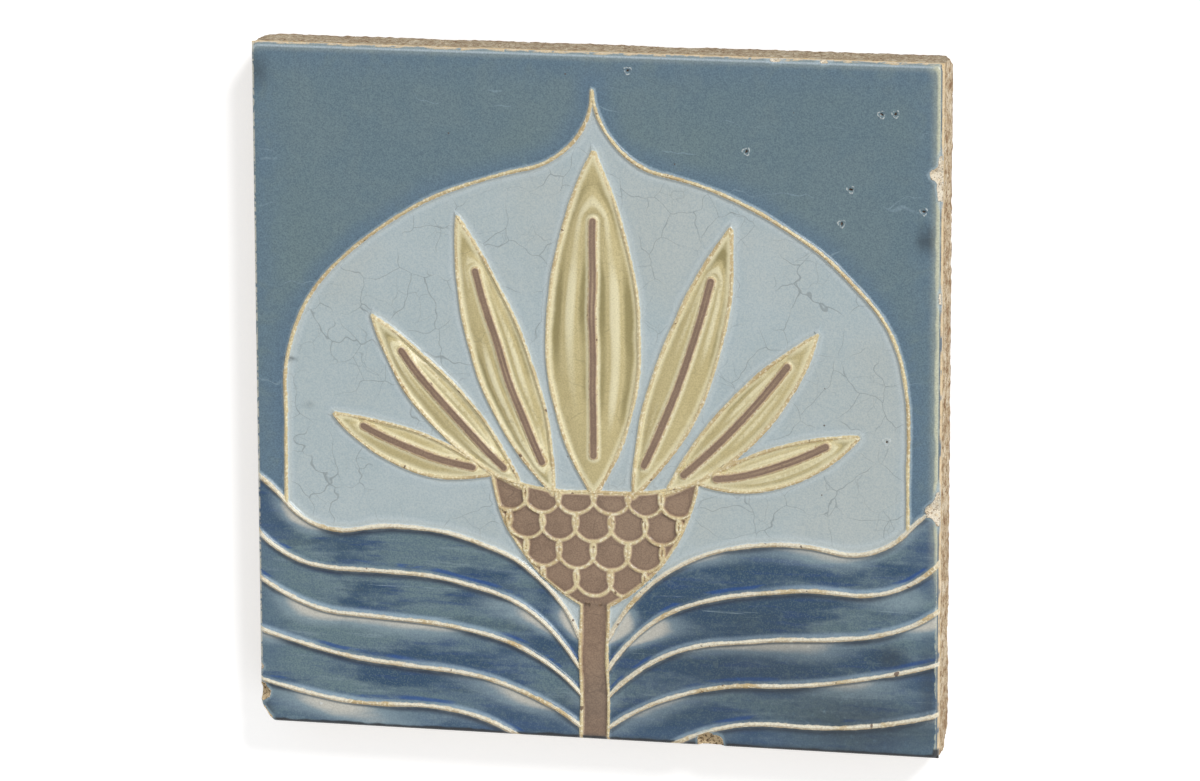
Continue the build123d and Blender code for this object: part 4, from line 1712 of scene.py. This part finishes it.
@dataclass
class Studio:
    """The floor, lights, backdrop and camera."""

    image_width: int = 1200
    focal_pixels: float = 6345.0
    camera_place: tuple[float, float, float] = (404.06, 390.49, 1761.85)
    camera_target: tuple[float, float, float] = (1.94, 3.15, 18.0)
    camera_roll: float = -0.2
    sensor: float = 36.0
    world_level: float = 0.53
    key_level: float = 1.8
    key_from: tuple[float, float, float] = (0.50, 0.62, 0.62)
    fill_level: float = 0.35
    fill_from: tuple[float, float, float] = (0.7, -0.5, 0.6)
    key_spread: float = 14.0
    fill_spread: float = 40.0
    floor_reach: float = 3.0
    floor_drop: float = 0.2
    floor_glow: float = 0.42
    farthest: float = 20.0

    def build(self) -> None:
        """Builds everything that isn't the tile."""
        self.floor()
        self.lamp("key", self.key_level, self.key_from, self.key_spread)
        self.lamp("fill", self.fill_level, self.fill_from, self.fill_spread)
        self.backdrop()
        self.camera()
        bpy.context.scene.view_settings.view_transform = "Standard"

    def white_to_camera(self, tree: Tree, strength: float) -> Socket:
        """A strength that only what the camera, gloss or glass sees directly has.

        Args:
            tree: The tree that gets the nodes.
            strength: The strength that they see.

        Returns:
            The strength, and 0 for all other light.
        """
        path = add(tree, "ShaderNodeLightPath").outputs
        seen = path["Is Camera Ray"]
        for name in ("Is Glossy Ray", "Is Transmission Ray"):
            seen = add(tree, "ShaderNodeMath", {0: seen, 1: path[name]}, operation="MAXIMUM").outputs[0]
        return add(tree, "ShaderNodeMath", {0: seen, 1: strength}, operation="MULTIPLY").outputs[0]

    def floor(self) -> None:
        """A wide white floor that keeps the tile's shadow."""
        far, low = self.floor_reach, -self.floor_drop * MM
        mesh = bpy.data.meshes.new("floor")
        corners = [(-far, -far, low), (far, -far, low), (far, far, low), (-far, far, low)]
        mesh.from_pydata(corners, [], [(0, 1, 2, 3)])
        material, tree, shader, _ = new_material("white_floor")
        shader.inputs["Base Color"].default_value = linear("#f4f4f4")
        shader.inputs["Roughness"].default_value = 0.9
        shader.inputs["Specular IOR Level"].default_value = 0.0
        shader.inputs["Emission Color"].default_value = (1.0, 1.0, 1.0, 1.0)
        tree.links.new(self.white_to_camera(tree, self.floor_glow), shader.inputs["Emission Strength"])
        mesh.materials.append(material)
        linked("floor", mesh)

    def lamp(self, name: str, level: float, source: tuple[float, float, float], spread: float) -> None:
        """A distant soft lamp that shines from a direction.

        Args:
            name: The lamp's name.
            level: Its strength.
            source: The direction it shines from.
            spread: Its width in the sky, in degrees.
        """
        light = bpy.data.lights.new(name, "SUN")
        light.energy = level
        light.angle = math.radians(spread)
        linked(name, light).matrix_world = Vector(source).to_track_quat("Z", "Y").to_matrix().to_4x4()

    def backdrop(self) -> None:
        """A world that lights evenly and looks white."""
        world = bpy.data.worlds.new("backdrop")
        world.use_nodes = True
        bpy.context.scene.world = world
        tree = world.node_tree
        background = tree.nodes["Background"]
        background.inputs["Color"].default_value = (1.0, 1.0, 1.0, 1.0)
        extra = self.white_to_camera(tree, 1.0 - self.world_level)
        level = add(tree, "ShaderNodeMath", {0: extra, 1: self.world_level}, operation="ADD").outputs[0]
        tree.links.new(level, background.inputs["Strength"])

    def camera(self) -> None:
        """The camera at the photograph's place, far off with a long lens."""
        data = bpy.data.cameras.new("camera")
        data.sensor_width = self.sensor
        data.lens = self.sensor * self.focal_pixels / self.image_width
        data.clip_end = self.farthest
        place, target = Vector(self.camera_place) * MM, Vector(self.camera_target) * MM
        back = (place - target).normalized()
        right = Vector((0, 1, 0)).cross(back).normalized()
        turned = Matrix((right, back.cross(right), back)).transposed().to_4x4()
        roll = Matrix.Rotation(math.radians(self.camera_roll), 4, "Z")
        camera = linked("camera", data)
        camera.matrix_world = Matrix.Translation(place) @ turned @ roll
        bpy.context.scene.camera = camera


def main() -> None:
    """Builds the tile, its surroundings, its lights and the camera."""
    logging.basicConfig(level=logging.INFO, format="%(name)s: %(message)s")
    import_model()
    low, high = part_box(NODE)
    side = (high.x - low.x) / MM
    glazes = [glaze.material() for glaze in GLAZES]
    clay = BareClay().material()
    tile = FaienceTile(Picture(side=side), side=side, thickness=high.z / MM)
    body = tile.build([*glazes, clay])
    pieces = [body, SlipLines(tile).build(Slip().material()), Grog().build(body, clay, (low, high))]
    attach(body, BODY)
    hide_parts(NODE)
    for piece in pieces[1:]:
        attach(piece, BODY)
    for piece in pieces:
        triangles = sum(len(face.vertices) - 2 for face in piece.data.polygons)
        LOG.info("%s: %d triangles", piece.name, triangles)
    Studio().build()


if __name__ == "__main__":
    main()
